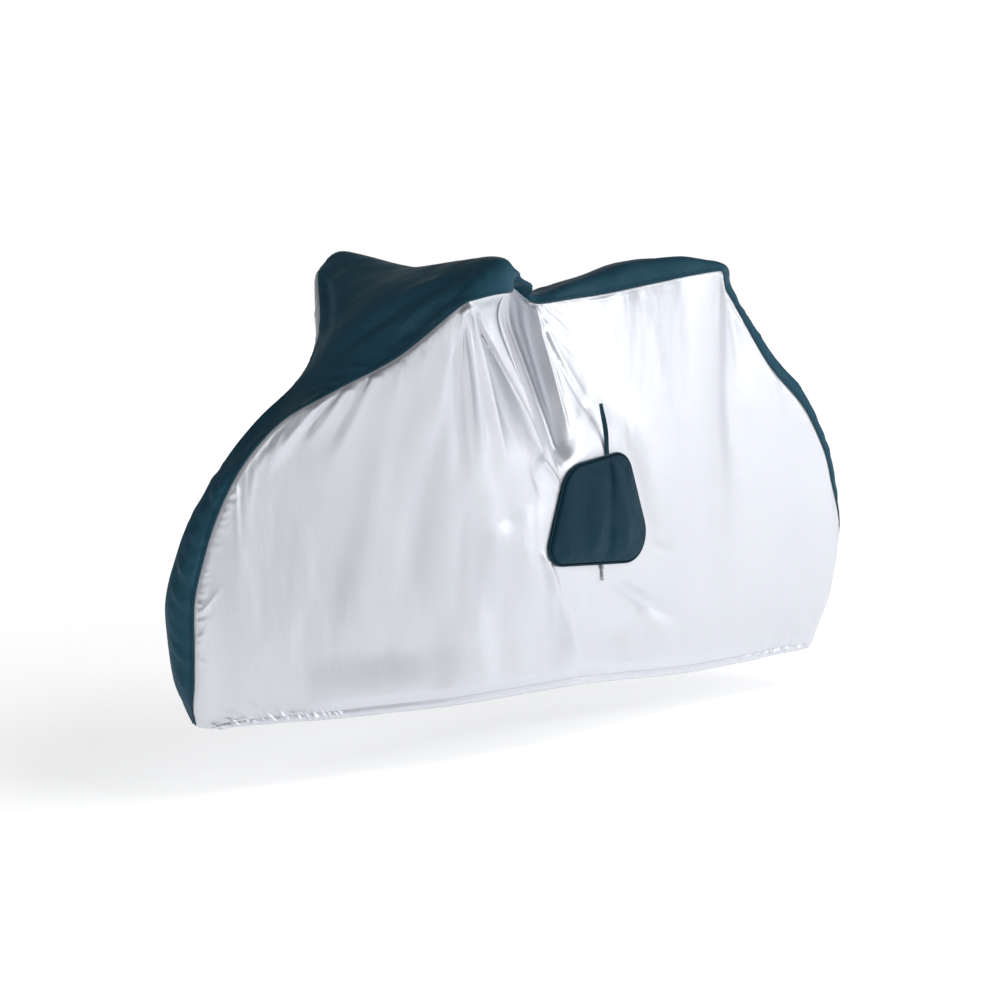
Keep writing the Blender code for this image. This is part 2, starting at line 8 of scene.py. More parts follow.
import bmesh
import bpy
import numpy as np
from mathutils import Matrix, Vector


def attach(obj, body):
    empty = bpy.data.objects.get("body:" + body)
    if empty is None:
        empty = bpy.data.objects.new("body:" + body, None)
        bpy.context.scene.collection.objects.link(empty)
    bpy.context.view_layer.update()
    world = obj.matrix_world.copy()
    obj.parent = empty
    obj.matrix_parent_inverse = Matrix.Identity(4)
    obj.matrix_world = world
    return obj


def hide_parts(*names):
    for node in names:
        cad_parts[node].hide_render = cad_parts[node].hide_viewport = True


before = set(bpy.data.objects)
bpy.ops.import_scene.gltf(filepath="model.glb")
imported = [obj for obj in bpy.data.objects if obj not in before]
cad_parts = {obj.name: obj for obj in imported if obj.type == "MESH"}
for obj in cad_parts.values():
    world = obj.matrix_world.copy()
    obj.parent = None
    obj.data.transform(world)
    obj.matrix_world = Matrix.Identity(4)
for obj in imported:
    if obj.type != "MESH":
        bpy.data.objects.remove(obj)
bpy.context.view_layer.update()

# Camera ------------------------------------------------------------------------------------
# It stands at the cover's front left, a little below the top of the hood, and looks slightly
# down. The lens is a short telephoto one.
CAMERA_PLACE = (-2.0472, -2.8728, -0.0852)
CAMERA_YAW = 0.5055
CAMERA_PITCH = 0.1326
CAMERA_ROLL = -0.0293
CAMERA_LENS_MM = 53.63
CAMERA_SENSOR_MM = 36.0
CAMERA_REACH = 200.0

forward = Vector((math.sin(CAMERA_YAW) * math.cos(CAMERA_PITCH),
                  math.cos(CAMERA_YAW) * math.cos(CAMERA_PITCH), -math.sin(CAMERA_PITCH)))
level = Vector((math.cos(CAMERA_YAW), -math.sin(CAMERA_YAW), 0.0))
upright = level.cross(forward)
right = level * math.cos(CAMERA_ROLL) + upright * math.sin(CAMERA_ROLL)
above = upright * math.cos(CAMERA_ROLL) - level * math.sin(CAMERA_ROLL)
camera_data = bpy.data.cameras.new("camera")
camera_data.lens = CAMERA_LENS_MM
camera_data.sensor_width = CAMERA_SENSOR_MM
camera_data.clip_end = CAMERA_REACH
camera = bpy.data.objects.new("camera", camera_data)
camera.matrix_world = Matrix((right, above, -forward)).transposed().to_4x4()
camera.location = CAMERA_PLACE
bpy.context.scene.collection.objects.link(camera)
bpy.context.scene.camera = camera

# Studio ------------------------------------------------------------------------------------
# A wide pale floor that glows a little, more so far away. Two large soft lights stand at the
# right in front and one hangs above. Weaker ones at the left and behind light those sides.
FLOOR_HEIGHT = -1.074
FLOOR_HALF_WIDTH = 60.0
FLOOR_COLOUR = (0.93, 0.93, 0.94, 1.0)
FLOOR_ROUGHNESS = 0.9
FLOOR_GLOW = (0.68, 1.10)          # under the cover, and far away
FLOOR_GLOW_REACH = (1.8, 7.0)      # the distances between which it grows
WHITE = (1.0, 1.0, 1.0, 1.0)
FILL_COLOUR = (0.86, 0.92, 1.0, 1.0)
FILL_STRENGTH = 0.06
LIGHT_COLUMNS = "name x y z width height power".split()
LIGHTS = (
    ("side_key", 4.6, -2.8, 1.3, 2.4, 2.6, 50.0),
    ("front_key", 2.6, -4.4, 1.2, 2.4, 2.6, 90.0),
    ("top", 1.8, -2.4, 3.4, 3.0, 1.6, 78.0),
    ("left", -5.0, -0.6, 1.0, 2.2, 2.6, 22.0),
    ("back", 1.0, 4.2, 1.0, 3.0, 2.2, 16.0),
)
LIGHT_AIM = Vector((-0.35, 0.0, -0.40))


def named(columns, rows):
    """Each row of a table as a dictionary, by the names of its columns."""
    return [dict(zip(columns, row)) for row in rows]


def fill_inputs(tree, node, inputs):
    """Gives a node's inputs their values, or links them to another node's output."""
    for key, value in inputs.items():
        if isinstance(value, bpy.types.NodeSocket):
            tree.links.new(value, node.inputs[key])
        else:
            node.inputs[key].default_value = value


def add_node(tree, kind, inputs=None, **settings):
    """A new node with its settings and its inputs."""
    node = tree.nodes.new(kind)
    for setting, value in settings.items():
        setattr(node, setting, value)
    fill_inputs(tree, node, inputs or {})
    return node


def new_material(name):
    """A new material, its node tree and its shader."""
    material = bpy.data.materials.new(name)
    material.use_nodes = True
    return material, material.node_tree, material.node_tree.nodes["Principled BSDF"]


def new_object(name, mesh, material):
    """An object in the scene with one material."""
    mesh.materials.append(material)
    thing = bpy.data.objects.new(name, mesh)
    bpy.context.scene.collection.objects.link(thing)
    return thing


floor_paper, floor_tree, floor_shader = new_material("floor_paper")
floor_place = add_node(floor_tree, "ShaderNodeTexCoord")
floor_distance = add_node(floor_tree, "ShaderNodeVectorMath",
                          {0: floor_place.outputs["Object"]}, operation="LENGTH")
floor_fade = add_node(floor_tree, "ShaderNodeMapRange", {
    "Value": floor_distance.outputs["Value"],
    "From Min": FLOOR_GLOW_REACH[0], "From Max": FLOOR_GLOW_REACH[1],
    "To Min": FLOOR_GLOW[0], "To Max": FLOOR_GLOW[1]})
fill_inputs(floor_tree, floor_shader, {
    "Base Color": FLOOR_COLOUR, "Roughness": FLOOR_ROUGHNESS, "Specular IOR Level": 0.0,
    "Emission Color": WHITE, "Emission Strength": floor_fade.outputs["Result"]})
floor_mesh = bpy.data.meshes.new("floor")
floor_mesh.from_pydata([(x * FLOOR_HALF_WIDTH, y * FLOOR_HALF_WIDTH, FLOOR_HEIGHT)
                        for x, y in ((-1, -1), (1, -1), (1, 1), (-1, 1))], [], [(0, 1, 2, 3)])
floor = new_object("floor", floor_mesh, floor_paper)

for light in named(LIGHT_COLUMNS, LIGHTS):
    lamp = bpy.data.lights.new(light["name"] + "_light", "AREA")
    lamp.shape = "RECTANGLE"
    lamp.size = light["width"]
    lamp.size_y = light["height"]
    lamp.energy = light["power"]
    lamp_object = bpy.data.objects.new(light["name"] + "_light", lamp)
    lamp_place = Vector((light["x"], light["y"], light["z"]))
    lamp_object.location = lamp_place
    lamp_object.rotation_euler = (LIGHT_AIM - lamp_place).to_track_quat("-Z", "Y").to_euler()
    bpy.context.scene.collection.objects.link(lamp_object)

studio = bpy.data.worlds.new("studio")
studio.use_nodes = True
studio_tree = studio.node_tree
studio_tree.nodes.clear()
seen_wall = add_node(studio_tree, "ShaderNodeBackground", {"Color": WHITE})
fill = add_node(studio_tree, "ShaderNodeBackground",
                {"Color": FILL_COLOUR, "Strength": FILL_STRENGTH})
ray = add_node(studio_tree, "ShaderNodeLightPath")
choice = add_node(studio_tree, "ShaderNodeMixShader", {
    "Fac": ray.outputs["Is Camera Ray"],
    1: fill.outputs["Background"], 2: seen_wall.outputs["Background"]})
add_node(studio_tree, "ShaderNodeOutputWorld", {"Surface": choice.outputs["Shader"]})
bpy.context.scene.world = studio
bpy.context.scene.view_settings.view_transform = "Standard"

# Side panel with the pouch -----------------------------------------------------------------
# Silver-coated polyester taffeta, cut in one piece from the seam under the navy top to the
# hem. It is drawn tight between the hood's end, the pouch and the elastic hem.
MOUNT = np.array((0.880, 0.0, 1.0740))     # the part's origin in the tables' datum
NEAR = -1
FAR = 1
CLOTH = 0.0010
HEM_THICKNESS = 0.0024
HEM_WIDTH = 0.018
SEAM_GAP = 0.0006
HOOD_STEER = math.radians(3.8)             # the hood is turned and tilted by these angles,
HOOD_TILT = math.radians(4.0)              # growing and fading over these heights and lengths
HOOD_HEIGHT = (0.60, 1.00)
HOOD_REACH = (0.42, 0.60)
SLIM_SHARE = 0.28                          # the shoulder's place between the ridge and the
WIDE_SHARE = 0.68                          # widest line, where the cover is slim and wide,
SLIM_TO_WIDE = (0.10, 0.30)                # by half its width
SLOPE_REACH = 2.0                          # keeps a long span from swinging past a short one
HEM_V = 4                                  # v runs down the cloth, from 0 at the ridge
COLUMN_STEPS = 160                         # samples that measure the cloth down one column
NORMAL_STEP = 0.02
TINY = 1e-9

# Stations from the front hem corner to the rear one. At each: the ridge (x, z), the shoulder
# (y, z), the widest line (x, y, z), the hem (x, y, z), how far the waist lies back and bulges
# out, the far side's lift and share of the width, the seam's v, and the columns to the next.
STATION_COLUMNS = ("name ridge_x ridge_z shoulder_y shoulder_z wide_x wide_y wide_z "
                   "hem_x hem_y hem_z waist_back waist_out far_lift far_width "
                   "near_seam far_seam columns").split()
STATIONS = (
    ("front_corner", -.300, .158, -.020, .157, -.290, -.030, .156, -.262, -.048, .153,
     .000, .000, .000, 1.00, 0.55, 0.55, 28),
    ("front_low", -.337, .262, -.029, .260, -.306, -.044, .255, -.205, -.056, .152,
     .000, .000, .000, 1.00, 1.90, 1.90, 34),
    ("front_middle", -.345, .390, -.033, .390, -.303, -.050, .390, -.125, -.072, .150,
     .000, .002, .000, 0.95, 2.00, 2.00, 34),
    ("front_high", -.310, .520, -.034, .519, -.272, -.051, .515, -.070, -.083, .147,
     .000, .004, .000, 0.88, 2.00, 2.00, 32),
    ("front_top", -.231, .648, -.038, .651, -.207, -.055, .655, -.015, -.092, .145,
     .000, .004, .000, 0.75, 2.00, 2.00, 20),
    ("hood_foot", -.122, .747, -.045, .752, -.115, -.068, .762, .035, -.100, .144,
     .000, .000, .000, 0.60, 2.00, 2.00, 20),
    ("hood_low", -.028, .828, -.070, .829, -.018, -.115, .825, .090, -.108, .143,
     .000, -.006, .000, 0.62, 2.00, 1.60, 26),
    ("hood_high", .060, .950, -.125, .930, .075, -.197, .893, .165, -.120, .142,
     .010, -.012, -.010, 0.88, 2.00, 1.40, 34),
    ("hood_brow", .165, 1.042, -.305, 1.035, .167, -.322, 1.012, .265, -.143, .145,
     .020, -.020, .020, 1.00, 2.00, 1.20, 50),
    ("hood_end", .240, 1.066, -.322, 1.071, .214, -.338, 1.022, .490, -.152, .147,
     .085, -.045, .015, 1.00, 2.00, 1.80, 44),
    ("hood_back", .310, 1.050, -.190, 1.050, .295, -.215, 1.030, .530, -.146, .145,
     .065, .005, .000, 1.00, 2.00, 2.00, 36),
    ("pocket", .395, 1.022, -.045, 1.022, .392, -.055, 1.010, .565, -.142, .142,
     .025, .050, .000, 1.00, 2.00, 2.00, 36),
    ("dip", .500, 1.004, -.055, 1.000, .495, -.075, .985, .610, -.134, .137,
     -.005, .050, .000, 1.00, 2.00, 2.00, 30),
    ("rise", .630, 1.034, -.045, 1.026, .625, -.062, .993, .700, -.115, .126,
     .000, .018, .000, 1.00, 2.00, 2.00, 24),
    ("crown_front", .770, 1.070, -.060, 1.060, .777, -.085, 1.017, .800, -.094, .114,
     .000, .006, .000, 1.00, 2.00, 2.00, 20),
    ("crown", .880, 1.0755, -.080, 1.070, .880, -.102, 1.034, .885, -.081, .107,
     .000, -.002, .000, 1.00, 2.00, 2.00, 18),
    ("crown_tail", 1.008, 1.061, -.070, 1.058, .972, -.090, 1.043, .965, -.070, .104,
     .000, -.002, .000, 1.00, 2.00, 2.00, 16),
    ("drop", 1.060, .990, -.040, .990, 1.022, -.055, .990, 1.035, -.061, .102,
     .000, .000, .000, 1.00, 2.00, 2.00, 18),
    ("rear_slope", 1.170, .858, -.036, .848, 1.145, -.050, .820, 1.100, -.054, .101,
     .000, .000, .000, 1.00, 2.00, 2.00, 18),
    ("rear_high", 1.297, .720, -.034, .710, 1.270, -.048, .690, 1.150, -.049, .102,
     .000, .000, .000, 1.00, 2.00, 2.00, 18),
    ("rear_middle", 1.370, .560, -.032, .555, 1.338, -.045, .545, 1.190, -.046, .102,
     .000, .000, .000, 1.00, 1.95, 1.95, 18),
    ("rear_point", 1.393, .410, -.031, .407, 1.358, -.043, .400, 1.218, -.044, .101,
     .000, .000, .000, 1.00, 1.10, 1.10, 16),
    ("rear_low", 1.368, .240, -.028, .240, 1.338, -.040, .240, 1.240, -.042, .101,
     .000, .000, .000, 1.00, 0.00, 0.00, 18),
    ("rear_corner", 1.292, .099, -.018, .099, 1.284, -.026, .099, 1.258, -.038, .101,
     .000, .000, .000, 1.00, 0.00, 0.00, 0),
)
STATION = {name: np.array([row[i] for row in STATIONS], float)
           for i, name in enumerate(STATION_COLUMNS) if name != "name"}
LAST_STATION = len(STATIONS) - 1
TOP_PANEL_END = LAST_STATION - 1.25

# On the pouch's side the hood's end reaches further back and is tucked in behind its edge.
# How far that moves the shoulder and the widest line, (x, y, z) each.
NEAR_END_COLUMNS = "shoulder_dx shoulder_dy shoulder_dz wide_dx wide_dy wide_dz".split()
NEAR_END = {
    "hood_end": (.025, .000, .015, .025, .000, .005),
    "hood_back": (.030, -.030, .020, .090, .095, -.005),
    "pocket": (.030, -.085, .010, .045, .005, .010),
}
for i, name in enumerate(NEAR_END_COLUMNS):
    STATION[name] = np.array([NEAR_END.get(row[0], (0.0,) * 6)[i] for row in STATIONS])

# Main folds and creases: start and end (x, z), sideways bow, half width at both ends, height
# (below zero for a trough), sharpness (2 is soft, 1 is a pinched edge), and the shares of the
# length over which each fades in and out.
FOLD_COLUMNS = ("name side start_x start_z end_x end_z bow start_width end_width height "
                "sharpness fade_in fade_out").split()
FOLDS = (
    ("fan_trough", NEAR, .182, .980, .224, .560, 0, .014, .030, -.013, 2, .15, .45),
    ("fan_ridge", NEAR, .194, .985, .262, .560, 0, .012, .026, .009, 2, .15, .45),
    ("fan_hollow", NEAR, .200, .980, .360, .640, 0, .016, .030, -.017, 2, .15, .45),
    ("crest", NEAR, .190, 1.000, .420, .640, 0, .014, .024, .014, 2, .15, .45),
    ("crest_foot", NEAR, .432, .440, .530, .190, 0, .018, .030, .008, 2, .35, .45),
    ("pouch_trough", NEAR, .585, .385, .905, .205, 0, .020, .050, -.009, 2, .25, .50),
    ("front_soft", NEAR, .060, .760, .100, .250, 0, .030, .050, .006, 2, .55, .45),
    ("middle_soft", NEAR, .285, .500, .345, .160, 0, .026, .034, -.006, 2, .55, .45),
    ("rear_soft", NEAR, .980, .860, 1.120, .420, 0, .040, .060, -.005, 2, .45, .45),
    ("fan_trough_far", FAR, .150, .960, .180, .520, 0, .014, .030, -.012, 2, .15, .45),
    ("crest_far", FAR, .180, .990, .420, .420, 0, .014, .030, .013, 2, .15, .45),
    ("fan_hollow_far", FAR, .180, .940, .300, .520, 0, .016, .030, -.012, 2, .15, .45),
    ("rear_soft_far", FAR, .620, .900, .900, .300, 0, .026, .050, -.010, 2, .30, .45),
    ("front_soft_far", FAR, -.030, .760, .060, .220, 0, .030, .045, .006, 2, .55, .45),
)
CREASES = (
    ("left_of_pouch", NEAR, .250, .720, .400, .430, -.010, .016, .030, -.0030, 2, .25, .45),
    ("pouch_lip", NEAR, .425, .450, .470, .250, -.008, .007, .016, .0050, 1.5, .15, .55),
    ("pouch_lip_gap", NEAR, .410, .430, .450, .250, -.008, .010, .018, -.0024, 1.7, .25, .55),
    ("low_line", NEAR, .480, .330, .530, .170, 0, .006, .016, .0035, 1.5, .25, .45),
    ("rear_pull", NEAR, .735, .430, .900, .360, .006, .008, .018, .0030, 1.6, .15, .60),
    ("soft_dark", NEAR, .170, .820, .120, .330, 0, .020, .030, -.0060, 2, .20, .40),
    ("soft_light", NEAR, .285, .700, .290, .230, 0, .024, .036, .0060, 2, .25, .40),
    ("soft_middle", NEAR, .225, .640, .215, .240, 0, .020, .030, -.0050, 2, .25, .40),
    ("soft_front", NEAR, .075, .740, .005, .240, 0, .020, .034, .0050, 2, .25, .40),
    ("soft_brow", NEAR, .120, .860, .060, .480, 0, .014, .030, -.0035, 2, .15, .50),
    ("low_front", NEAR, .180, .380, .205, .155, 0, .018, .024, -.0030, 2, .30, .30),
    ("low_middle", NEAR, .260, .395, .295, .145, 0, .018, .024, .0035, 2, .30, .30),
    ("front_fan_low", NEAR, -.040, .800, -.150, .660, 0, .006, .016, .0036, 1.5, .05, .60),
    ("cheek_fan", NEAR, -.075, .785, -.180, .655, 0, .006, .016, .0034, 1.5, .05, .60),
    ("cheek_gap", NEAR, -.100, .765, -.190, .650, 0, .006, .014, -.0030, 1.5, .05, .60),
    ("edge_first", NEAR, -.290, .395, -.235, .455, 0, .003, .007, .0015, 1.4, .05, .70),
    ("edge_second", NEAR, -.300, .345, -.260, .390, 0, .003, .007, .0016, 1.4, .05, .70),
    ("edge_third", NEAR, -.305, .305, -.265, .280, 0, .003, .007, .0014, 1.5, .05, .70),
    ("rear_corner_fold", NEAR, 1.020, .985, 1.090, .700, 0, .008, .030, -.0040, 1.7, .05, .60),
    ("rear_edge_fold", NEAR, 1.150, .820, 1.200, .560, 0, .014, .030, .0030, 2, .15, .60),
    ("apex_gap_far", FAR, .160, .985, .200, .640, 0, .005, .014, -.0060, 1.4, .05, .55),
    ("apex_line_far", FAR, .170, .990, .250, .620, 0, .005, .014, .0060, 1.4, .05, .55),
    ("crest_line_far", FAR, .182, .985, .430, .520, .014, .005, .012, .0070, 1.3, .05, .40),
    ("crest_lee_far", FAR, .210, .965, .440, .560, .012, .010, .020, -.0050, 1.7, .10, .50),
    ("drop_edge_far", FAR, .478, .985, .560, .520, -.010, .006, .014, .0070, 1.4, .04, .50),
    ("rear_first_far", FAR, .500, .965, .760, .760, .010, .006, .018, .0040, 1.5, .06, .60),
    ("rear_second_far", FAR, .496, .920, .680, .600, .012, .006, .018, .0040, 1.5, .06, .60),
    ("rear_gap_far", FAR, .498, .945, .720, .680, .010, .006, .018, -.0040, 1.5, .06, .60),
    ("low_far", FAR, .420, .430, .480, .180, 0, .014, .030, .0060, 2, .25, .40),
    ("low_gap_far", FAR, .560, .480, .640, .170, 0, .016, .034, -.0060, 2, .25, .40),
    ("soft_rear_far", FAR, .860, .820, .980, .250, 0, .024, .044, .0050, 2, .25, .40),
    ("soft_middle_far", FAR, .130, .640, .110, .220, 0, .018, .034, -.0060, 2, .25, .40),
    ("front_fan_far", FAR, .012, .838, -.120, .640, 0, .007, .020, .0045, 1.6, .05, .60),
    ("cheek_fan_far", FAR, -.075, .785, -.180, .620, 0, .006, .018, .0036, 1.5, .05, .60),
    ("brow_fan_far", FAR, .080, .870, .000, .620, 0, .008, .024, -.0042, 1.7, .05, .60),
)
# Pleats and tension lines, each an arc: its start (x, z), its heading there in degrees from
# straight down, how far it has turned towards the rear at its end, its length, its half width
# in front and behind, how much wider it ends, its height, and the shares that fade in and out.
PLEAT_COLUMNS = ("name start_x start_z heading bend length front_width back_width spread height "
                 "fade_in fade_out").split()
CREST_ARC = (.170, 1.010, 33, 6, .535)
PLEATS = (
    ("brow_gap", .172, .960, 12, -12, .36, .008, .006, 1.2, -.0050, .45, .45),
    ("brow_edge", .170, .925, -5, 5, .25, .008, .006, 1.4, .0046, .15, .50),
    ("brow_shade", .175, .900, -4, 0, .30, .006, .010, 1.6, -.0036, .30, .45),
    ("first_ridge", .178, 1.000, 8, 2, .39, .0050, .0046, 0.9, .0088, .08, .45),
    ("first_gap", .182, .995, 9, 0, .36, .0044, .0044, 0.9, -.0080, .12, .40),
    ("second_ridge", .180, 1.000, 13, 0, .39, .0048, .0044, 0.9, .0084, .08, .45),
    ("second_gap", .184, .995, 16, 0, .33, .0046, .0050, 1.0, -.0090, .12, .40),
    ("third_ridge", .182, 1.002, 22, -2, .41, .0064, .0044, 1.0, .0120, .06, .45),
    ("hollow", .184, .998, 28, 0, .44, .0080, .0120, 1.2, -.0140, .10, .45),
    ("hollow_foot", .330, .750, 32, -16, .25, .0080, .0160, 0.8, -.0060, .30, .45),
    ("crest_shoulder", .205, .975, 34, 0, .34, .0080, .0090, 0.8, .0030, .10, .35),
    ("crest_line", *CREST_ARC, .0050, .0030, 0.4, .0065, .03, .12),
    ("crest_groove", .310, .800, 36, 6, .20, .0032, .0032, 0.2, -.0040, .25, .15),
    ("corner_ridge", .345, .740, 38, 5, .12, .0050, .0040, 0.3, .0035, .30, .20),
    ("slope_band", .460, .975, 8, 2, .26, .0150, .0120, 0.0, .0050, .15, .35),
    ("drop_line", .480, .990, 8, 0, .31, .0060, .0040, 0.4, .0050, .03, .20),
    ("pull_first", .490, .925, 11, 0, .23, .0028, .0028, 1.0, -.0030, .06, .40),
    ("pull_second", .490, .950, 42, 12, .20, .0026, .0030, 1.4, -.0030, .04, .45),
    ("pull_second_lip", .490, .960, 42, 12, .20, .0040, .0040, 1.6, .0020, .06, .50),
    ("pull_third", .490, .930, 18, 26, .27, .0030, .0036, 1.4, -.0034, .06, .30),
    ("pull_third_lip", .500, .925, 20, 26, .23, .0050, .0050, 1.2, .0026, .08, .40),
    ("pull_fourth", .500, .980, 50, 7, .19, .0026, .0030, 1.5, -.0026, .04, .50),
    ("pull_fifth", .510, .985, 58, 4, .16, .0026, .0030, 1.5, -.0022, .04, .50),
    ("cheek_gap_first", .005, .830, -37, 4, .15, .0035, .0035, 2.0, -.0042, .04, .55),
    ("cheek_line_first", .015, .830, -36, 3, .16, .0045, .0045, 2.0, .0048, .04, .55),
    ("cheek_line_second", -.025, .810, -44, 8, .18, .0050, .0050, 1.6, .0042, .05, .60),
    ("cheek_gap_second", -.010, .810, -42, 2, .12, .0040, .0040, 1.6, -.0034, .05, .60),
    ("cheek_soft", .060, .860, -24, 4, .26, .0070, .0070, 1.8, .0055, .05, .60),
    ("cheek_soft_gap", .045, .850, -25, 0, .18, .0055, .0055, 1.8, -.0044, .05, .55),
    ("seam_dent_first", .105, .905, -11, 0, .04, .0060, .0060, 0.5, -.0018, .10, .50),
    ("seam_dent_second", .125, .920, 6, 0, .04, .0040, .0040, 0.5, -.0016, .10, .50),
    ("below_rear", .600, .375, 61, 0, .33, .0080, .0120, 1.6, -.0075, .20, .60),
    ("below_rear_lip", .625, .385, 61, 2, .25, .0070, .0100, 1.2, .0045, .20, .60),
    ("below_front", .400, .470, 26, 0, .27, .0080, .0060, 1.2, .0080, .12, .50),
    ("below_front_gap", .390, .470, 20, 10, .18, .0080, .0070, 1.2, -.0030, .12, .50),
    ("corner_pull_low", .410, .600, -14, 22, .17, .0060, .0080, 0.8, -.0018, .25, .40),
)
FOLD_CREST = 0.25              # how round a fold's top is, and the height this gives back
FOLD_GAIN = 0.1
FOLD_V = (1.9, 2.3, 3.85, 4.0)         # where down the cloth the main folds grow and fade
CREASE_SEAM_FADE = (0.001, 0.012)      # distances from the seam and from the hem over which
CREASE_HEM_FADE = (0.012, 0.060)       # the fine creases grow


def smooth_step(low, high, value):
    """0 below low, 1 above high and a smooth rise between."""
    t = np.clip((value - low) / (high - low), 0.0, 1.0)
    return t * t * (3.0 - 2.0 * t)


def window(value, rise_start, rise_end, fall_start, fall_end):
    """1 between a smooth rise and a smooth fall, 0 outside them."""
    return (smooth_step(rise_start, rise_end, value)
            * (1 - smooth_step(fall_start, fall_end, value)))


def hermite(start, end, start_slope, end_slope, t):
    """Cubic from start to end with the given slopes."""
    return ((2 * t**3 - 3 * t**2 + 1) * start + (t**3 - 2 * t**2 + t) * start_slope
            + (3 * t**2 - 2 * t**3) * end + (t**3 - t**2) * end_slope)


def along(column, s):
    """A table column at s, smooth and without overshoot."""
    values = STATION[column]
    steps = np.diff(values)
    before = steps[:-1]
    after = steps[1:]
    slopes = np.zeros(len(values))
    product = before * after
    same_way = product > 0
    slopes[1:-1][same_way] = 2 * product[same_way] / (before + after)[same_way]
    slopes[0] = steps[0]
    slopes[-1] = steps[-1]
    index = np.clip(np.floor(s).astype(int), 0, len(values) - 2)
    return hermite(values[index], values[index + 1], slopes[index], slopes[index + 1],
                   s - index)


def control_points(s, side):
    """Ridge, shoulder, widest line, waist and hem at s, as an array (5, n, 3)."""
    zero = np.zeros_like(s)
    ridge = np.stack([along("ridge_x", s), zero, along("ridge_z", s)], -1)
    wide = np.stack([along("wide_x", s), along("wide_y", s), along("wide_z", s)], -1)
    hem = np.stack([along("hem_x", s), along("hem_y", s), along("hem_z", s)], -1)
    wideness = smooth_step(*SLIM_TO_WIDE, np.abs(wide[:, 1]))
    share = SLIM_SHARE + (WIDE_SHARE - SLIM_SHARE) * wideness
    shoulder_x = ridge[:, 0] + (wide[:, 0] - ridge[:, 0]) * share
    shoulder = np.stack([shoulder_x, along("shoulder_y", s), along("shoulder_z", s)], -1)
    waist = (wide + hem) / 2
    waist[:, 0] += along("waist_back", s)
    waist[:, 1] -= along("waist_out", s)
    points = np.stack([ridge, shoulder, wide, waist, hem])
    if side == FAR:
        points[:, :, 1] *= -1
        points[1:3, :, 1] *= along("far_width", s)
        points[1:3, :, 2] += along("far_lift", s)
    in_hood = (smooth_step(*HOOD_HEIGHT, points[:, :, 2])
               * (1 - smooth_step(*HOOD_REACH, points[:, :, 0])))
    width = points[:, :, 1] * in_hood
    points[:, :, 0] -= width * math.tan(HOOD_STEER)
    points[:, :, 2] += width * math.tan(HOOD_TILT)
    if side == NEAR:
        shifts = np.stack([along(name, s) for name in NEAR_END_COLUMNS], -1)
        points[1] += shifts[:, :3]
        points[2] += shifts[:, 3:]
    return points


def unit(vectors):
    """Each vector at length 1."""
    return vectors / np.linalg.norm(vectors, axis=-1, keepdims=True)


def plain_surface(s, v, side):
    """The cloth without its folds; s and v have one shape."""
    shape = s.shape
    s = s.ravel()
    v = v.ravel()
    points = control_points(s, side)
    spans = np.diff(points, axis=0)
    lengths = np.linalg.norm(spans, axis=-1) + TINY
    ways = spans / lengths[..., None]
    slopes = np.zeros_like(points)
    slopes[1:4] = unit(ways[:-1] + ways[1:])
    slopes[0] = unit(points[1] * (0.0, 1.0, 0.0))
    slopes[HEM_V] = ways[-1]
    part = np.clip(np.floor(v).astype(int), 0, HEM_V - 1)
    each = np.arange(len(s))
    before = lengths[np.maximum(part - 1, 0), each]
    here = lengths[part, each]
    after = lengths[np.minimum(part + 1, HEM_V - 1), each]
    start_slope = slopes[part, each] * np.minimum(here, SLOPE_REACH * before)[:, None]
    end_slope = slopes[part + 1, each] * np.minimum(here, SLOPE_REACH * after)[:, None]
    place = hermite(points[part, each], points[part + 1, each], start_slope, end_slope,
                    (v - part)[:, None])
    return place.reshape(shape + (3,))


def normals_of(surface, s, v, side):
    """Outward unit normals of a surface function."""
    low_s = np.maximum(s - NORMAL_STEP, 0)
    high_s = np.minimum(s + NORMAL_STEP, LAST_STATION)
    low_v = np.maximum(v - NORMAL_STEP, 0)
    high_v = np.minimum(v + NORMAL_STEP, HEM_V)
    over_s = surface(high_s, v, side) - surface(low_s, v, side)
    over_v = surface(s, high_v, side) - surface(s, low_v, side)
    return unit(np.cross(over_s, over_v) * side)


def fold_height(place, side, rows):
    """Sum of the folds or creases of one side at each place."""
    total = np.zeros(place.shape[:-1])
    for fold in named(FOLD_COLUMNS, rows):
        if fold["side"] != side:
            continue
        start = np.array((fold["start_x"], fold["start_z"]))
        run = np.array((fold["end_x"], fold["end_z"])) - start
        length = np.linalg.norm(run)
        run = run / length
        offset = place[..., (0, 2)] - start
        t = offset @ run / length
        across = offset[..., 0] * run[1] - offset[..., 1] * run[0]
        across = across + fold["bow"] * 4 * t * (1 - t)
        width = fold["start_width"] + (fold["end_width"] - fold["start_width"]) * t
        width = np.maximum(width, fold["start_width"] / 2)
        fade = window(t, 0.0, fold["fade_in"], 1 - fold["fade_out"], 1.0)
        bend = np.hypot(across / width, FOLD_CREST)
        profile = np.exp(-(bend ** fold["sharpness"]) + FOLD_GAIN)
        total += fold["height"] * fade * profile
    return total


ARC_STEPS = 8                  # straight runs that stand for one arc
PLEAT_CREST = 0.3              # how round a pleat's top is
PLEAT_SHARPNESS = 1.5


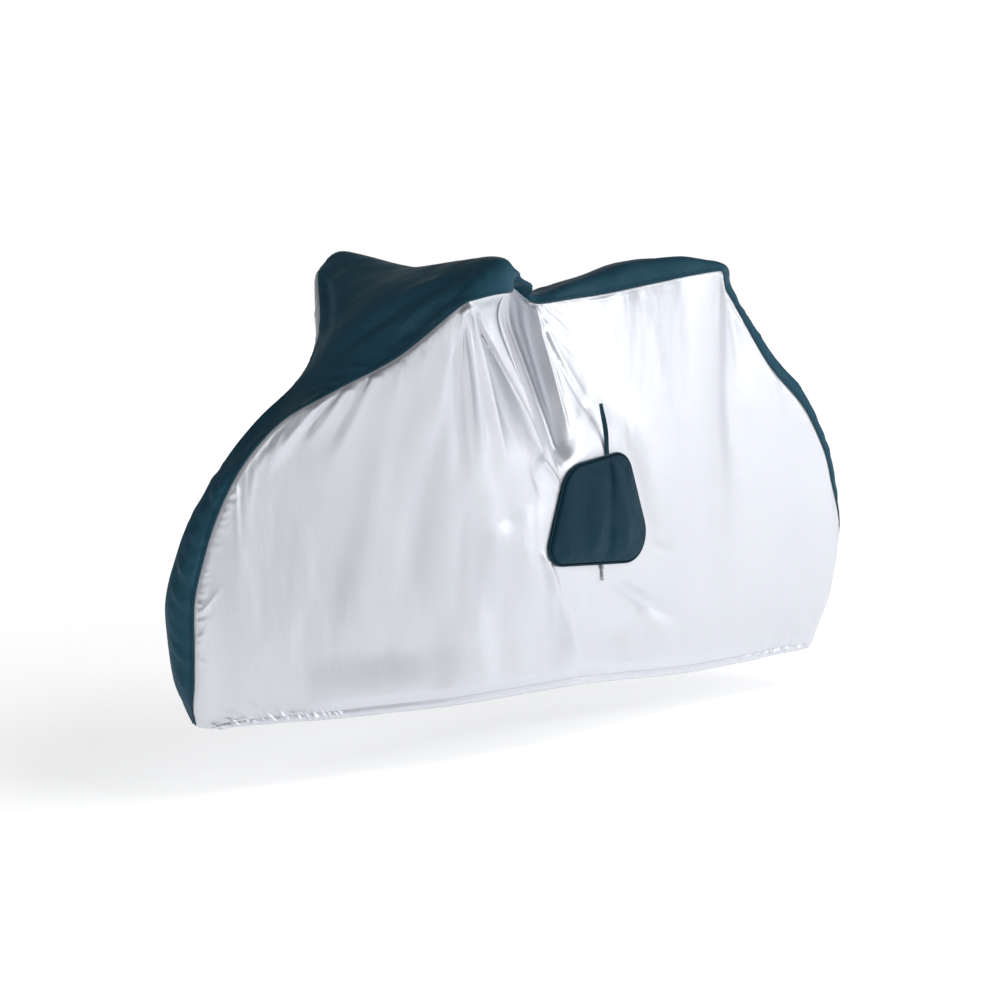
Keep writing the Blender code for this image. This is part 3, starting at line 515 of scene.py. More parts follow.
def arc_distance(x, z, start_x, start_z, heading, bend, length):
    """How far behind an arc each place is, and the share of the length at the nearest point."""
    step = length / ARC_STEPS
    nearest = np.full(x.shape, np.inf)
    behind = np.zeros(x.shape)
    share = np.zeros(x.shape)
    for i in range(ARC_STEPS):
        turn = math.radians(heading + bend * (i + 0.5) / ARC_STEPS)
        run_x = math.sin(turn)
        run_z = -math.cos(turn)
        across = (z - start_z) * run_x - (x - start_x) * run_z
        ahead = (x - start_x) * run_x + (z - start_z) * run_z
        gap = np.hypot(across, ahead - np.clip(ahead, 0, step))
        closer = gap < nearest
        nearest = np.where(closer, gap, nearest)
        behind = np.where(closer, np.copysign(gap, across), behind)
        share = np.where(closer, (i + ahead / step) / ARC_STEPS, share)
        start_x += run_x * step
        start_z += run_z * step
    return behind, share


def pleat_height(x, z, rows):
    """Sum of the pleats at each place."""
    total = np.zeros(x.shape)
    for row in rows:
        pleat = dict(zip(PLEAT_COLUMNS, row))
        behind, share = arc_distance(x, z, *row[1:6])
        width = np.where(behind < 0, pleat["front_width"], pleat["back_width"])
        width = width * (1 + pleat["spread"] * np.clip(share, 0, 1))
        fade = window(share, 0.0, pleat["fade_in"], 1 - pleat["fade_out"], 1.0)
        profile = np.exp(PLEAT_CREST**PLEAT_SHARPNESS
                         - np.hypot(behind / width, PLEAT_CREST) ** PLEAT_SHARPNESS)
        total += pleat["height"] * fade * profile
    return total


# Behind the crest that runs from the hood's end to the pouch the cloth drops away sharply. The
# drop is deepest near the crest's top, and has come up again before the dip.
CREST_DEPTH = 0.050
CREST_DROP_RISE = (-0.02, 0.16)
CREST_DROP_WIDTH = (-0.002, 0.016)
CREST_DROP_STATIONS = (7.5, 8.2, 10.6, 11.4)


def crest_drop(place, s):
    """Height, below zero, of the cloth behind the crest."""
    past, share = arc_distance(place[..., 0], place[..., 2], *CREST_ARC)
    depth = CREST_DEPTH * smooth_step(*CREST_DROP_RISE, share) * (1 - np.clip(share, 0, 1))
    return -depth * smooth_step(*CREST_DROP_WIDTH, past) * window(s, *CREST_DROP_STATIONS)


def folded_surface(s, v, side):
    """The cloth with its main folds."""
    place = plain_surface(s, v, side)
    height = fold_height(place, side, FOLDS)
    if side == NEAR:
        height += crest_drop(place, s)
    height *= window(v, *FOLD_V)
    return place + normals_of(plain_surface, s, v, side) * height[..., None]


# The stow pouch's plane and outline come here, because the cloth lies flat behind it.
POUCH_CENTRE = (12.20, 3.09)
POUCH_PROUD = 0.010
POUCH_TURN = math.radians(15.5)
POUCH_TIP = math.radians(4.0)
POUCH_CORNERS = (
    ("rear_top", .110, .133, .050),
    ("rear_bottom", .176, -.130, .070),
    ("front_bottom", -.184, -.092, .040),
    ("front_top", -.090, .112, .080),
)
POUCH_EDGE_FLAT = 0.004
# The cloth settles on the pouch's plane over a short way where the crest's valley runs up to the
# pouch's front corner, and over a longer one elsewhere.
POUCH_BLEND = (0.045, 0.160)
POUCH_VALLEY_U = (-0.06, 0.06)
POUCH_VALLEY_W = (-0.02, 0.10)
POUCH_CLEAR = (0.060, 0.120)
POUCH_REACH_STEPS = 8          # steps round each corner where distances are taken from the edge

pouch_out = np.array((math.sin(POUCH_TURN) * math.cos(POUCH_TIP),
                      -math.cos(POUCH_TURN) * math.cos(POUCH_TIP), math.sin(POUCH_TIP)))
pouch_u = np.array((math.cos(POUCH_TURN), math.sin(POUCH_TURN), 0.0))
pouch_w = np.cross(pouch_out, pouch_u)
pouch_middle = (plain_surface(np.array([POUCH_CENTRE[0]]), np.array([POUCH_CENTRE[1]]), NEAR)[0]
                + pouch_out * POUCH_PROUD)


def pouch_outline(inset, arc_steps, edge_steps):
    """The pouch's edge, moved in by inset: arcs and straight runs, clockwise from the rear."""
    corners = np.array([row[1:3] for row in POUCH_CORNERS])
    radii = [row[3] for row in POUCH_CORNERS]
    arcs = []
    for i, corner in enumerate(corners):
        to_last = unit(corners[i - 1] - corner)
        to_next = unit(corners[(i + 1) % len(corners)] - corner)
        half = math.acos(np.clip(to_last @ to_next, -1, 1)) / 2
        bisector = unit(to_last + to_next)
        centre = corner + bisector * radii[i] / math.sin(half)
        sweep = math.pi - 2 * half
        first = math.atan2(-bisector[1], -bisector[0]) + sweep / 2
        angles = first - sweep * np.arange(arc_steps + 1) / arc_steps
        ways = np.stack([np.cos(angles), np.sin(angles)], -1)
        arcs.append(centre + ways * (radii[i] - inset))
    outline = []
    for i, arc in enumerate(arcs):
        outline.append(arc)
        gap_end = arcs[(i + 1) % len(arcs)][0]
        shares = np.arange(1, edge_steps)[:, None] / edge_steps
        outline.append(arc[-1] + (gap_end - arc[-1]) * shares)
    return np.concatenate(outline)


def pouch_distance(u, w):
    """Distance outside the pouch's edge, 0 within it."""
    edge = pouch_outline(0.0, POUCH_REACH_STEPS, 1)
    nearest = np.full(u.shape, np.inf)
    inside = np.zeros(u.shape, bool)
    for i, start in enumerate(edge):
        end = edge[(i + 1) % len(edge)]
        run = end - start
        t = np.clip(((u - start[0]) * run[0] + (w - start[1]) * run[1]) / (run @ run), 0, 1)
        gap = np.hypot(u - start[0] - run[0] * t, w - start[1] - run[1] * t)
        nearest = np.minimum(nearest, gap)
        crosses = (start[1] > w) != (end[1] > w)
        rise = run[1] if run[1] else TINY
        inside ^= crosses & (u < start[0] + run[0] * (w - start[1]) / rise)
    return np.where(inside, 0.0, nearest)


def cloth(s, v, side):
    """The cloth with its main folds, flat behind the pouch."""
    place = folded_surface(s, v, side)
    if side == FAR:
        return place
    offset = place - pouch_middle
    height = offset @ pouch_out
    u = offset @ pouch_u
    w = offset @ pouch_w
    gap = pouch_distance(u, w)
    in_valley = smooth_step(*POUCH_VALLEY_W, w) * (1 - smooth_step(*POUCH_VALLEY_U, u))
    reach = POUCH_BLEND[1] + (POUCH_BLEND[0] - POUCH_BLEND[1]) * in_valley
    height_left = height * smooth_step(POUCH_EDGE_FLAT, reach, gap)
    height_left = np.where(height_left > 0, height_left * smooth_step(*POUCH_CLEAR, gap),
                           height_left)
    return place + pouch_out * (height_left - height)[..., None]


def seam_v(s, side, shift):
    """The seam's v at s, moved down the cloth by shift metres."""
    seam = np.maximum(along("near_seam" if side == NEAR else "far_seam", s), 0.0)
    step = plain_surface(s, seam + NORMAL_STEP, side) - plain_surface(s, seam, side)
    speed = np.linalg.norm(step, axis=-1) / NORMAL_STEP
    return np.maximum(seam + shift / speed, SEAM_GAP / 2 / speed)


def station_columns(last):
    """s of every column from the front corner to last."""
    columns = [index + step / row[-1]
               for index, row in enumerate(STATIONS) for step in range(row[-1])]
    columns = np.array(columns + [LAST_STATION], float)
    return columns[columns <= last + TINY]


def down_the_cloth(s, start_v, end_v, side, rows):
    """v at each row, by true distance down each column. rows gives the distance from the
    start for each row, from the column's whole length."""
    dense = np.linspace(0, 1, COLUMN_STEPS)[:, None]
    v = start_v + (end_v - start_v) * dense
    place = cloth(np.broadcast_to(s, v.shape), v, side)
    steps = np.linalg.norm(np.diff(place, axis=0), axis=-1)
    length = np.concatenate([np.zeros((1, len(s))), np.cumsum(steps, axis=0)])
    distance = rows(length[-1])
    v_rows = np.stack([np.interp(distance[:, j], length[:, j], v[:, j])
                       for j in range(len(s))], -1)
    return v_rows, distance


SEAM_ZONE = (0.045, 0.20, 14)      # depth, most share of the column, rows
HEM_ZONE = (0.060, 0.30, 18)
SIDE_ROWS = 124


def side_row_distances(total):
    """Rows closer together near the seam and the hem."""
    top = np.minimum(SEAM_ZONE[0], total * SEAM_ZONE[1])
    bottom = np.minimum(HEM_ZONE[0], total * HEM_ZONE[1])
    middle_rows = SIDE_ROWS - SEAM_ZONE[2] - HEM_ZONE[2]
    parts = (
        np.linspace(0, 1, SEAM_ZONE[2], endpoint=False)[:, None] * top,
        top + np.linspace(0, 1, middle_rows, endpoint=False)[:, None] * (total - top - bottom),
        total - bottom + np.linspace(0, 1, HEM_ZONE[2] + 1)[:, None] * bottom,
    )
    return np.concatenate(parts)


NOISE_GRID = 256               # random values each way, before they repeat


def soft_noise(x, y, seed):
    """Smooth noise from -1 to 1 on a unit grid of random values."""
    values = np.random.default_rng(seed).uniform(-1, 1, (NOISE_GRID, NOISE_GRID))
    column = np.floor(x).astype(int)
    row = np.floor(y).astype(int)
    over = smooth_step(0, 1, x - column)
    up = smooth_step(0, 1, y - row)

    def along_row(grid_row):
        here = values[grid_row % NOISE_GRID, column % NOISE_GRID]
        there = values[grid_row % NOISE_GRID, (column + 1) % NOISE_GRID]
        return here * (1 - over) + there * over

    return along_row(row) * (1 - up) + along_row(row + 1) * up


# Puckers gathered by a seam or an elastic: from one station to another, with their spacing,
# length down the cloth, height, and how far each leans forward for its length.
PUCKER_COLUMNS = "name first_s last_s spacing length height lean".split()
NEAR_PUCKERS = (
    ("corner", 0.10, 1.40, .012, .030, .0016, 0.1),
    ("front_edge", 1.40, 4.00, .016, .034, .0018, -0.9),
    ("cheek", 4.00, 6.30, .030, .070, .0018, 1.1),
    ("brow", 6.30, 8.20, .020, .060, .0026, 0.5),
    ("hood_end", 8.20, 9.60, .012, .022, .0006, 0.1),
    ("dip", 11.8, 12.8, .016, .040, .0016, -0.5),
    ("crown", 12.8, 16.6, .034, .028, .0007, -0.2),
    ("drop", 16.6, 17.4, .014, .050, .0020, -0.1),
    ("rear_edge", 17.4, 21.6, .027, .034, .0012, 0.5),
)
HEM_GATHERS = (
    ("front_hem", 0.10, 4.10, .0100, .028, .0034, 0.0),
    ("front_hem_long", 0.20, 3.40, .024, .075, .0022, 0.3),
    ("middle_hem", 4.60, 17.2, .060, .040, .0010, 0.0),
    ("rear_hem", 17.2, 22.9, .0120, .028, .0026, 0.0),
    ("rear_hem_long", 17.4, 22.6, .024, .075, .0022, -0.3),
)

# Chances of each pucker, as shares of its zone's values: least and most.
PUCKER_WIDTH = (0.22, 0.42)
PUCKER_LENGTH = (0.55, 1.45)
PUCKER_HEIGHT = (0.35, 1.30)
PUCKER_LEAN = (-0.25, 0.25)
PUCKER_STEP = (0.6, 1.5)
PUCKER_START = 0.8             # its width at the edge, against that further down
PUCKER_RISE = (0.0, 0.006)     # from the edge
PUCKER_FADE = (0.35, 1.0)      # shares of its length
PUCKER_REACH = 3               # past this many widths and lengths nothing of it is left


def puckers(from_edge, edge_length, s, rows, seed):
    """Height of ridges that start at an edge, run away from it and fade out."""
    chance = np.random.default_rng(seed)
    total = np.zeros(from_edge.shape)
    for zone in named(PUCKER_COLUMNS, rows):
        place, last = np.interp((zone["first_s"], zone["last_s"]), s, edge_length)
        while place < last:
            width = zone["spacing"] * chance.uniform(*PUCKER_WIDTH)
            length = zone["length"] * chance.uniform(*PUCKER_LENGTH)
            height = zone["height"] * chance.uniform(*PUCKER_HEIGHT)
            lean = zone["lean"] + chance.uniform(*PUCKER_LEAN)
            reach = PUCKER_REACH * (width + length)
            near = slice(*np.searchsorted(edge_length, (place - reach, place + reach)))
            away = from_edge[:, near]
            spread = width * (PUCKER_START + away / length)
            across = (edge_length[near] - place + lean * away) / spread
            total[:, near] += (height * np.exp(-across**2) * smooth_step(*PUCKER_RISE, away)
                               * (1 - smooth_step(*PUCKER_FADE, away / length)))
            place += zone["spacing"] * chance.uniform(*PUCKER_STEP)
    return total


# The hem is turned over an elastic and topstitched; above it the cloth rolls out and under.
HEM_BAND_SWELL = 0.0008
HEM_GROOVE = 0.0014
HEM_GROOVE_WIDTH = 0.0022
HEM_ROLL = 0.0090
HEM_ROLL_PEAK = 0.046
HEM_ROLL_STATIONS = (2.0, 6.0, 10.5, 15.0)
HEM_ROLL_END = 3.2             # where the roll has faded, against the height of its peak
HEM_ROLL_REAR_LOSS = 0.6       # how much of it fades towards the rear


def hem_height(from_hem, s):
    """The band, its stitch groove and the roll above, by distance from the hem's edge."""
    band = HEM_BAND_SWELL * (1 - (2 * from_hem / HEM_WIDTH - 1) ** 2)
    band = np.where(from_hem < HEM_WIDTH, band, 0.0)
    groove = -HEM_GROOVE * np.exp(-((from_hem - HEM_WIDTH) / HEM_GROOVE_WIDTH) ** 2)
    low_s, full_s, fading_s, end_s = HEM_ROLL_STATIONS
    strength = (smooth_step(low_s, full_s, s)
                * (1 - HEM_ROLL_REAR_LOSS * smooth_step(fading_s, end_s, s)))
    rise = smooth_step(HEM_WIDTH, HEM_ROLL_PEAK, from_hem)
    fall = 1 - smooth_step(HEM_ROLL_PEAK, HEM_ROLL_END * HEM_ROLL_PEAK, from_hem)
    return band + groove + HEM_ROLL * strength * rise * fall


SEAM_TUCK = 0.005              # the light panel's edge runs this far in under the navy one,
SEAM_TUCK_DEPTH = 0.0019       # this much deeper
CENTRE_SEAM_RAISE = 0.0012     # below the navy top's point the two light panels meet
NOISE_COLUMNS = "name across down height seed".split()
CLOTH_NOISE = (
    ("broad", .110, .300, .0032, 3),
    ("middle", .042, .150, .0013, 5),
    ("fine", .017, .050, .00038, 8),
)
NOISE_START = 40               # where on the noise's grid the cloth lies


def cloth_noise(x, z, rows):
    """Slack in the cloth: soft unevenness, longer down the cloth than across it."""
    total = np.zeros(x.shape)
    for layer in named(NOISE_COLUMNS, rows):
        total += layer["height"] * soft_noise(x / layer["across"] + NOISE_START,
                                              z / layer["down"] + NOISE_START, layer["seed"])
    return total


def skin_mesh(name, points, faces, uv, edge_mask=None):
    """A smooth closed mesh with its faces turned outwards and the cloth's UV."""
    mesh = bpy.data.meshes.new(name)
    mesh.from_pydata(points.tolist(), [], faces)
    mesh.update()
    shape = bmesh.new()
    shape.from_mesh(mesh)
    bmesh.ops.recalc_face_normals(shape, faces=shape.faces)
    shape.to_mesh(mesh)
    shape.free()
    loops = np.zeros(len(mesh.loops), int)
    mesh.loops.foreach_get("vertex_index", loops)
    layer = mesh.uv_layers.new(name="cloth")
    layer.data.foreach_set("uv", uv[loops].ravel())
    if edge_mask is not None:
        mask = mesh.attributes.new("seam_edge", "FLOAT", "POINT")
        mask.data.foreach_set("value", edge_mask)
    mesh.shade_smooth()
    return mesh


def sheet_mesh(name, outer, inner, uv, edge_mask):
    """A closed sheet: a fine outer face, an inner face with half its rows and columns, and a
    rim of triangles between them."""
    inner = inner[::2, ::2]
    outer_index = np.arange(outer[..., 0].size).reshape(outer.shape[:2])
    inner_index = outer_index.size + np.arange(inner[..., 0].size).reshape(inner.shape[:2])

    def grid_faces(index):
        corners = (index[:-1, :-1], index[:-1, 1:], index[1:, 1:], index[1:, :-1])
        return np.stack([corner.ravel() for corner in corners], -1)

    def rim(index):
        sides = (index[0], index[1:, -1], index[-1, -2::-1], index[-2:0:-1, 0])
        return np.concatenate(sides).tolist()

    faces = grid_faces(outer_index).tolist() + grid_faces(inner_index)[:, ::-1].tolist()
    outer_rim = rim(outer_index)
    inner_rim = rim(inner_index)
    for i, here in enumerate(inner_rim):
        there = inner_rim[(i + 1) % len(inner_rim)]
        first = outer_rim[2 * i]
        middle = outer_rim[2 * i + 1]
        last = outer_rim[(2 * i + 2) % len(outer_rim)]
        faces += [[first, here, middle], [middle, here, there], [middle, there, last]]
    points = np.concatenate([outer.reshape(-1, 3), inner.reshape(-1, 3)]) - MOUNT
    both_uv = np.concatenate([uv.reshape(-1, 2), uv[::2, ::2].reshape(-1, 2)])
    both_masks = np.concatenate([edge_mask.ravel(), edge_mask[::2, ::2].ravel()])
    return skin_mesh(name, points, faces, both_uv, both_masks)


def length_along(line):
    """How far along a line each of its points is."""
    steps = np.linalg.norm(np.diff(line, axis=0), axis=-1)
    return np.concatenate([[0], np.cumsum(steps)])


NAVY_END_FADE = 0.35           # stations over which the navy top's point narrows
FAR_NOISE_SHIFT = 3.0          # so that the two sides don't share their slack
GATHER_SEAM_FADE = (0.0, 0.01)         # distances from the seam over which the gathers and the
HEM_SEAM_FADE = (0.0, 0.02)            # hem's roll grow, and those of the steps at the seam
SEAM_TUCK_STEP = (0.0, 0.0035)
CENTRE_SEAM_STEP = (0.004, 0.009)
POUCH_CALM = (0.0, 0.012)      # creases grow over this distance from the pouch
SEAM_TONE_WIDTH = 0.012
HEM_TONE_STEP = (-0.002, 0.006)        # from the hem's stitches


def side_panel_grid(side, pucker_rows, gather_rows, seed):
    """The panel's sheet (outer and inner face, UV, where it is sewn), and what its hem's
    stitches follow (outer face, normals, distance from the hem)."""
    s = station_columns(LAST_STATION)
    under_navy = 1 - smooth_step(TOP_PANEL_END - NAVY_END_FADE, TOP_PANEL_END, s)
    tuck = SEAM_TUCK * under_navy
    start = seam_v(s, side, -tuck)
    v, distance = down_the_cloth(s, start, np.full(len(s), float(HEM_V)), side,
                                 side_row_distances)
    s_grid = np.broadcast_to(s, v.shape)
    place = cloth(s_grid, v, side)
    normal = normals_of(cloth, s_grid, v, side)
    from_seam = distance - tuck
    from_hem = distance[-1] - distance
    quiet = smooth_step(*CREASE_SEAM_FADE, from_seam) * smooth_step(*CREASE_HEM_FADE, from_hem)
    height = fold_height(place, side, CREASES) * quiet
    height += cloth_noise(place[..., 0], place[..., 2] + side * FAR_NOISE_SHIFT,
                          CLOTH_NOISE) * quiet
    height += puckers(np.maximum(from_seam, 0), length_along(place[0]), s, pucker_rows, seed)
    height += (puckers(from_hem, length_along(place[-1]), s, gather_rows, seed + 1)
               * smooth_step(*GATHER_SEAM_FADE, from_seam))
    if side == NEAR:
        height += pleat_height(place[..., 0], place[..., 2], PLEATS) * quiet
        offset = place - pouch_middle
        gap = pouch_distance(offset @ pouch_u, offset @ pouch_w)
        height *= smooth_step(*POUCH_CALM, gap)
    height += hem_height(from_hem, s_grid) * smooth_step(*HEM_SEAM_FADE, from_seam)
    height -= SEAM_TUCK_DEPTH * under_navy * (1 - smooth_step(*SEAM_TUCK_STEP, from_seam))
    height += (CENTRE_SEAM_RAISE * (1 - under_navy)
               * (1 - smooth_step(*CENTRE_SEAM_STEP, from_seam)))
    outer = place + normal * height[..., None]
    thickness = CLOTH + (HEM_THICKNESS - CLOTH) * (from_hem < HEM_WIDTH)
    inner = outer - normal * thickness[..., None]
    uv = np.stack([place[..., 0], place[..., 2]], -1)
    from_stitches = from_hem - HEM_WIDTH
    edge_mask = np.maximum(1 - smooth_step(0.0, SEAM_TONE_WIDTH, from_seam),
                           1 - smooth_step(*HEM_TONE_STEP, from_stitches))
    return (outer, inner, uv, edge_mask), (outer, normal, from_hem)


def node_group(name, kind, inputs, outputs):
    """An empty node group with its input and output nodes."""
    group = bpy.data.node_groups.new(name, kind)
    for label, socket_kind, value in inputs:
        socket = group.interface.new_socket(label, in_out="INPUT", socket_type=socket_kind)
        if value is not None:
            socket.default_value = value
    for label, socket_kind in outputs:
        group.interface.new_socket(label, in_out="OUTPUT", socket_type=socket_kind)
    return group, group.nodes.new("NodeGroupInput"), group.nodes.new("NodeGroupOutput")


def math_node(tree, operation, first, second=None):
    """A Math node's result; each input is another node's output or a number."""
    inputs = {0: first} if second is None else {0: first, 1: second}
    return add_node(tree, "ShaderNodeMath", inputs, operation=operation).outputs[0]


# Plain weave: threads that pass over and under each other, by a position in metres.
weave_group, weave_in, weave_out = node_group(
    "plain_weave", "ShaderNodeTree",
    [("Position", "NodeSocketVector", None), ("Threads per metre", "NodeSocketFloat", 1800.0)],
    [("Height", "NodeSocketFloat")])
weave_split = add_node(weave_group, "ShaderNodeSeparateXYZ", {0: weave_in.outputs["Position"]})
turns = math_node(weave_group, "MULTIPLY", weave_in.outputs["Threads per metre"], math.pi)
warp, weft = (
    math_node(weave_group, "SINE",
              math_node(weave_group, "MULTIPLY", weave_split.outputs[axis], turns))
    for axis in ("X", "Y"))
woven = math_node(weave_group, "MULTIPLY", warp, weft)
fill_inputs(weave_group, weave_out, {"Height": math_node(weave_group, "ABSOLUTE", woven)})

# Crumple: the small uneven creases that thin coated cloth keeps from being folded away.
crumple_group, crumple_in, crumple_out = node_group(
    "crumple", "ShaderNodeTree",
    [("Position", "NodeSocketVector", None), ("Turn", "NodeSocketFloat", 0.0),
     ("Creases per metre", "NodeSocketFloat", 22.0)],
    [("Height", "NodeSocketFloat"), ("Patches", "NodeSocketFloat")])
crumple_spin = add_node(crumple_group, "ShaderNodeVectorRotate", {
    "Vector": crumple_in.outputs["Position"], "Angle": crumple_in.outputs["Turn"]},
    rotation_type="Z_AXIS")
crumple_stretch = add_node(crumple_group, "ShaderNodeMapping", {
    "Vector": crumple_spin.outputs["Vector"], "Scale": (1.0, 0.30, 1.0)})
crumple_noise = add_node(crumple_group, "ShaderNodeTexNoise", {
    "Vector": crumple_stretch.outputs["Vector"],
    "Scale": crumple_in.outputs["Creases per metre"],
    "Detail": 4.0, "Roughness": 0.55, "Distortion": 0.3})
patch_noise = add_node(crumple_group, "ShaderNodeTexNoise", {
    "Vector": crumple_in.outputs["Position"], "Scale": 3.2, "Detail": 2.0})
fill_inputs(crumple_group, crumple_out, {
    "Height": crumple_noise.outputs["Fac"], "Patches": patch_noise.outputs["Fac"]})

SEWN_TONE_SHARE = 0.55         # how much of the third tone shows where the cloth is sewn


def cloth_material(name, colour, patch_colour, seam_colour, roughness, roughness_spread,
                   metallic, gloss, sheen, threads, weave_depth, crumple_depth,
                   crumple_turn=0.0):
    """Woven cloth: two near tones in soft patches, a third tone where it is sewn, and weave
    and small creases as bump."""
    material, tree, shader = new_material(name)
    position = add_node(tree, "ShaderNodeUVMap", uv_map="cloth").outputs["UV"]
    weave = add_node(tree, "ShaderNodeGroup", {
        "Position": position, "Threads per metre": threads}, node_tree=weave_group)
    crumple = add_node(tree, "ShaderNodeGroup", {
        "Position": position, "Turn": crumple_turn}, node_tree=crumple_group)
    patches = add_node(tree, "ShaderNodeMix", {
        "Factor": crumple.outputs["Patches"],
        "A": (*colour, 1.0), "B": (*patch_colour, 1.0)}, data_type="RGBA")
    sewn = add_node(tree, "ShaderNodeAttribute", attribute_name="seam_edge")
    edge_tone = add_node(tree, "ShaderNodeMix", {
        "Factor": math_node(tree, "MULTIPLY", sewn.outputs["Fac"], SEWN_TONE_SHARE),
        "A": patches.outputs["Result"], "B": (*seam_colour, 1.0)}, data_type="RGBA")
    rough_patches = math_node(tree, "MULTIPLY", crumple.outputs["Patches"], roughness_spread)
    weave_bump = add_node(tree, "ShaderNodeBump", {
        "Distance": weave_depth, "Strength": 0.6, "Height": weave.outputs["Height"]})
    crumple_bump = add_node(tree, "ShaderNodeBump", {
        "Distance": crumple_depth, "Strength": 1.0, "Height": crumple.outputs["Height"],
        "Normal": weave_bump.outputs["Normal"]})
    fill_inputs(tree, shader, {
        "Base Color": edge_tone.outputs["Result"],
        "Roughness": math_node(tree, "ADD", roughness, rough_patches),
        "Metallic": metallic, "Specular IOR Level": gloss,
        "Sheen Weight": sheen, "Sheen Roughness": 0.45,
        "Normal": crumple_bump.outputs["Normal"]})
    return material


silver_cloth = cloth_material(
    "silver_cloth", (0.61, 0.63, 0.68), (0.69, 0.71, 0.75), (0.64, 0.66, 0.71),
    roughness=0.32, roughness_spread=0.12, metallic=0.55, gloss=0.45, sheen=0.10,
    threads=1400.0, weave_depth=0.00006, crumple_depth=0.0014)

near_sheet, near_hem = side_panel_grid(NEAR, NEAR_PUCKERS, HEM_GATHERS, seed=11)
near_panel = new_object("near_panel_cloth", sheet_mesh("near_panel_cloth", *near_sheet),
                        silver_cloth)
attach(near_panel, "root")
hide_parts("side_panel_near")

# Side panel without the pouch --------------------------------------------------------------
# The same cloth and cut on the other side. It is drawn less tight, so its folds run from the
# hood's far end straight to the hem.
FAR_PUCKERS = (
    ("corner", 0.10, 1.40, .012, .030, .0016, 0.1),
    ("front_edge", 1.40, 4.00, .024, .036, .0016, -0.9),
    ("cheek", 4.00, 6.30, .030, .080, .0022, 1.1),
    ("brow", 6.30, 8.20, .021, .060, .0026, 0.5),
    ("hood_end", 8.20, 9.60, .011, .024, .0014, 0.1),
    ("dip", 11.8, 13.0, .018, .040, .0018, -0.5),
    ("crown", 13.0, 16.6, .034, .030, .0010, -0.2),
    ("drop", 16.6, 17.4, .014, .050, .0020, -0.1),
    ("rear_edge", 17.4, 21.6, .026, .036, .0014, 0.5),
)
far_sheet, far_hem = side_panel_grid(FAR, FAR_PUCKERS, HEM_GATHERS, seed=29)
far_panel = new_object("far_panel_cloth", sheet_mesh("far_panel_cloth", *far_sheet),
                       silver_cloth)
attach(far_panel, "root")
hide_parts("side_panel_far")

# Top panel ---------------------------------------------------------------------------------
# Navy polyester in one strip from the front hem to a point low at the rear, widened into a
# hood over the two high points in front. Its edges are folded under and sewn over the silver.
TOP_HALF_ROWS = 40
TOP_SEAM_ZONE = (0.016, 0.30, 10)
SEAM_FOLD_WIDTH = 0.008
SEAM_FOLD_RAISE = 0.0011
SEAM_FOLD_STEP = 0.002
SEAM_FOLD_EDGE = 0.0006
SEAM_FOLD_TONE = 0.004
TOP_SEAM_FADE = (0.004, 0.014)
RIDGE_FADE = 0.5               # share of the half width over which creases grow from the ridge
HOOD_CREASES = (     # in these rows x stands for y, across the cover
    ("brow_first", NEAR, -.318, 1.040, -.060, .860, .010, .014, .030, .0065, 1.8, .15, .50),
    ("brow_gap", NEAR, -.322, 1.020, -.120, .850, .010, .014, .028, -.0090, 1.8, .15, .50),
    ("brow_second", NEAR, -.290, 1.046, -.010, .880, .010, .014, .030, -.0065, 1.8, .15, .50),
    ("brow_third", NEAR, -.240, 1.046, -.002, .920, .006, .014, .026, .0065, 1.8, .15, .50),
    ("brow_low", NEAR, -.325, .998, -.190, .860, .006, .010, .022, .0060, 1.8, .15, .50),
    ("brow_slit", NEAR, -.150, 1.020, -.010, .850, .006, .012, .024, -.0055, 1.8, .20, .50),
    ("brow_fine_first", NEAR, -.270, 1.030, -.150, .900, .006, .006, .010, .0034, 1.5, .15, .50),
    ("brow_fine_second", NEAR, -.250, 1.020, -.120, .880, .006, .006, .010, -.0034, 1.5, .15, .50),
    ("brow_fine_third", NEAR, -.205, 1.010, -.080, .870, .006, .006, .010, .0032, 1.5, .15, .50),
    ("brow_fine_fourth", NEAR, -.165, 1.000, -.040, .860, .006, .006, .010, -.0032, 1.5, .15, .50),
    ("brow_fine_fifth", NEAR, -.120, .990, -.010, .850, .006, .006, .010, .0030, 1.5, .15, .50),
    ("flap_first", NEAR, -.322, 1.050, -.300, .985, 0, .003, .006, .0045, 1.4, .10, .50),
    ("flap_second", NEAR, -.310, 1.048, -.284, .985, 0, .003, .006, -.0045, 1.4, .10, .50),
    ("flap_third", NEAR, -.300, 1.052, -.262, .975, 0, .004, .008, .0048, 1.4, .10, .50),
    ("flap_fourth", NEAR, -.284, 1.052, -.236, .960, 0, .005, .010, -.0045, 1.5, .10, .50),
    ("brow_first", FAR, .318, 1.060, .060, .870, -.010, .014, .030, .0065, 1.8, .15, .50),
    ("brow_gap", FAR, .322, 1.040, .120, .850, -.010, .014, .028, -.0085, 1.8, .15, .50),
    ("brow_second", FAR, .280, 1.060, .010, .890, -.010, .014, .030, -.0060, 1.8, .15, .50),
    ("brow_third", FAR, .220, 1.056, .002, .930, -.006, .014, .026, .0060, 1.8, .15, .50),
    ("flap_first", FAR, .322, 1.066, .296, .990, 0, .004, .007, .0045, 1.4, .10, .50),
    ("flap_second", FAR, .306, 1.066, .274, .985, 0, .004, .008, -.0045, 1.4, .10, .50),
)
HOOD_CREASE_STATIONS = (5.6, 6.4, 8.9, 9.5)
HOOD_GRAIN_TURN = math.radians(-38)
QUIET_END_STATIONS = (9.0, 9.6, 11.6, 12.2)    # the tucked end behind the hood lies smooth
QUIET_END_LOSS = 0.85
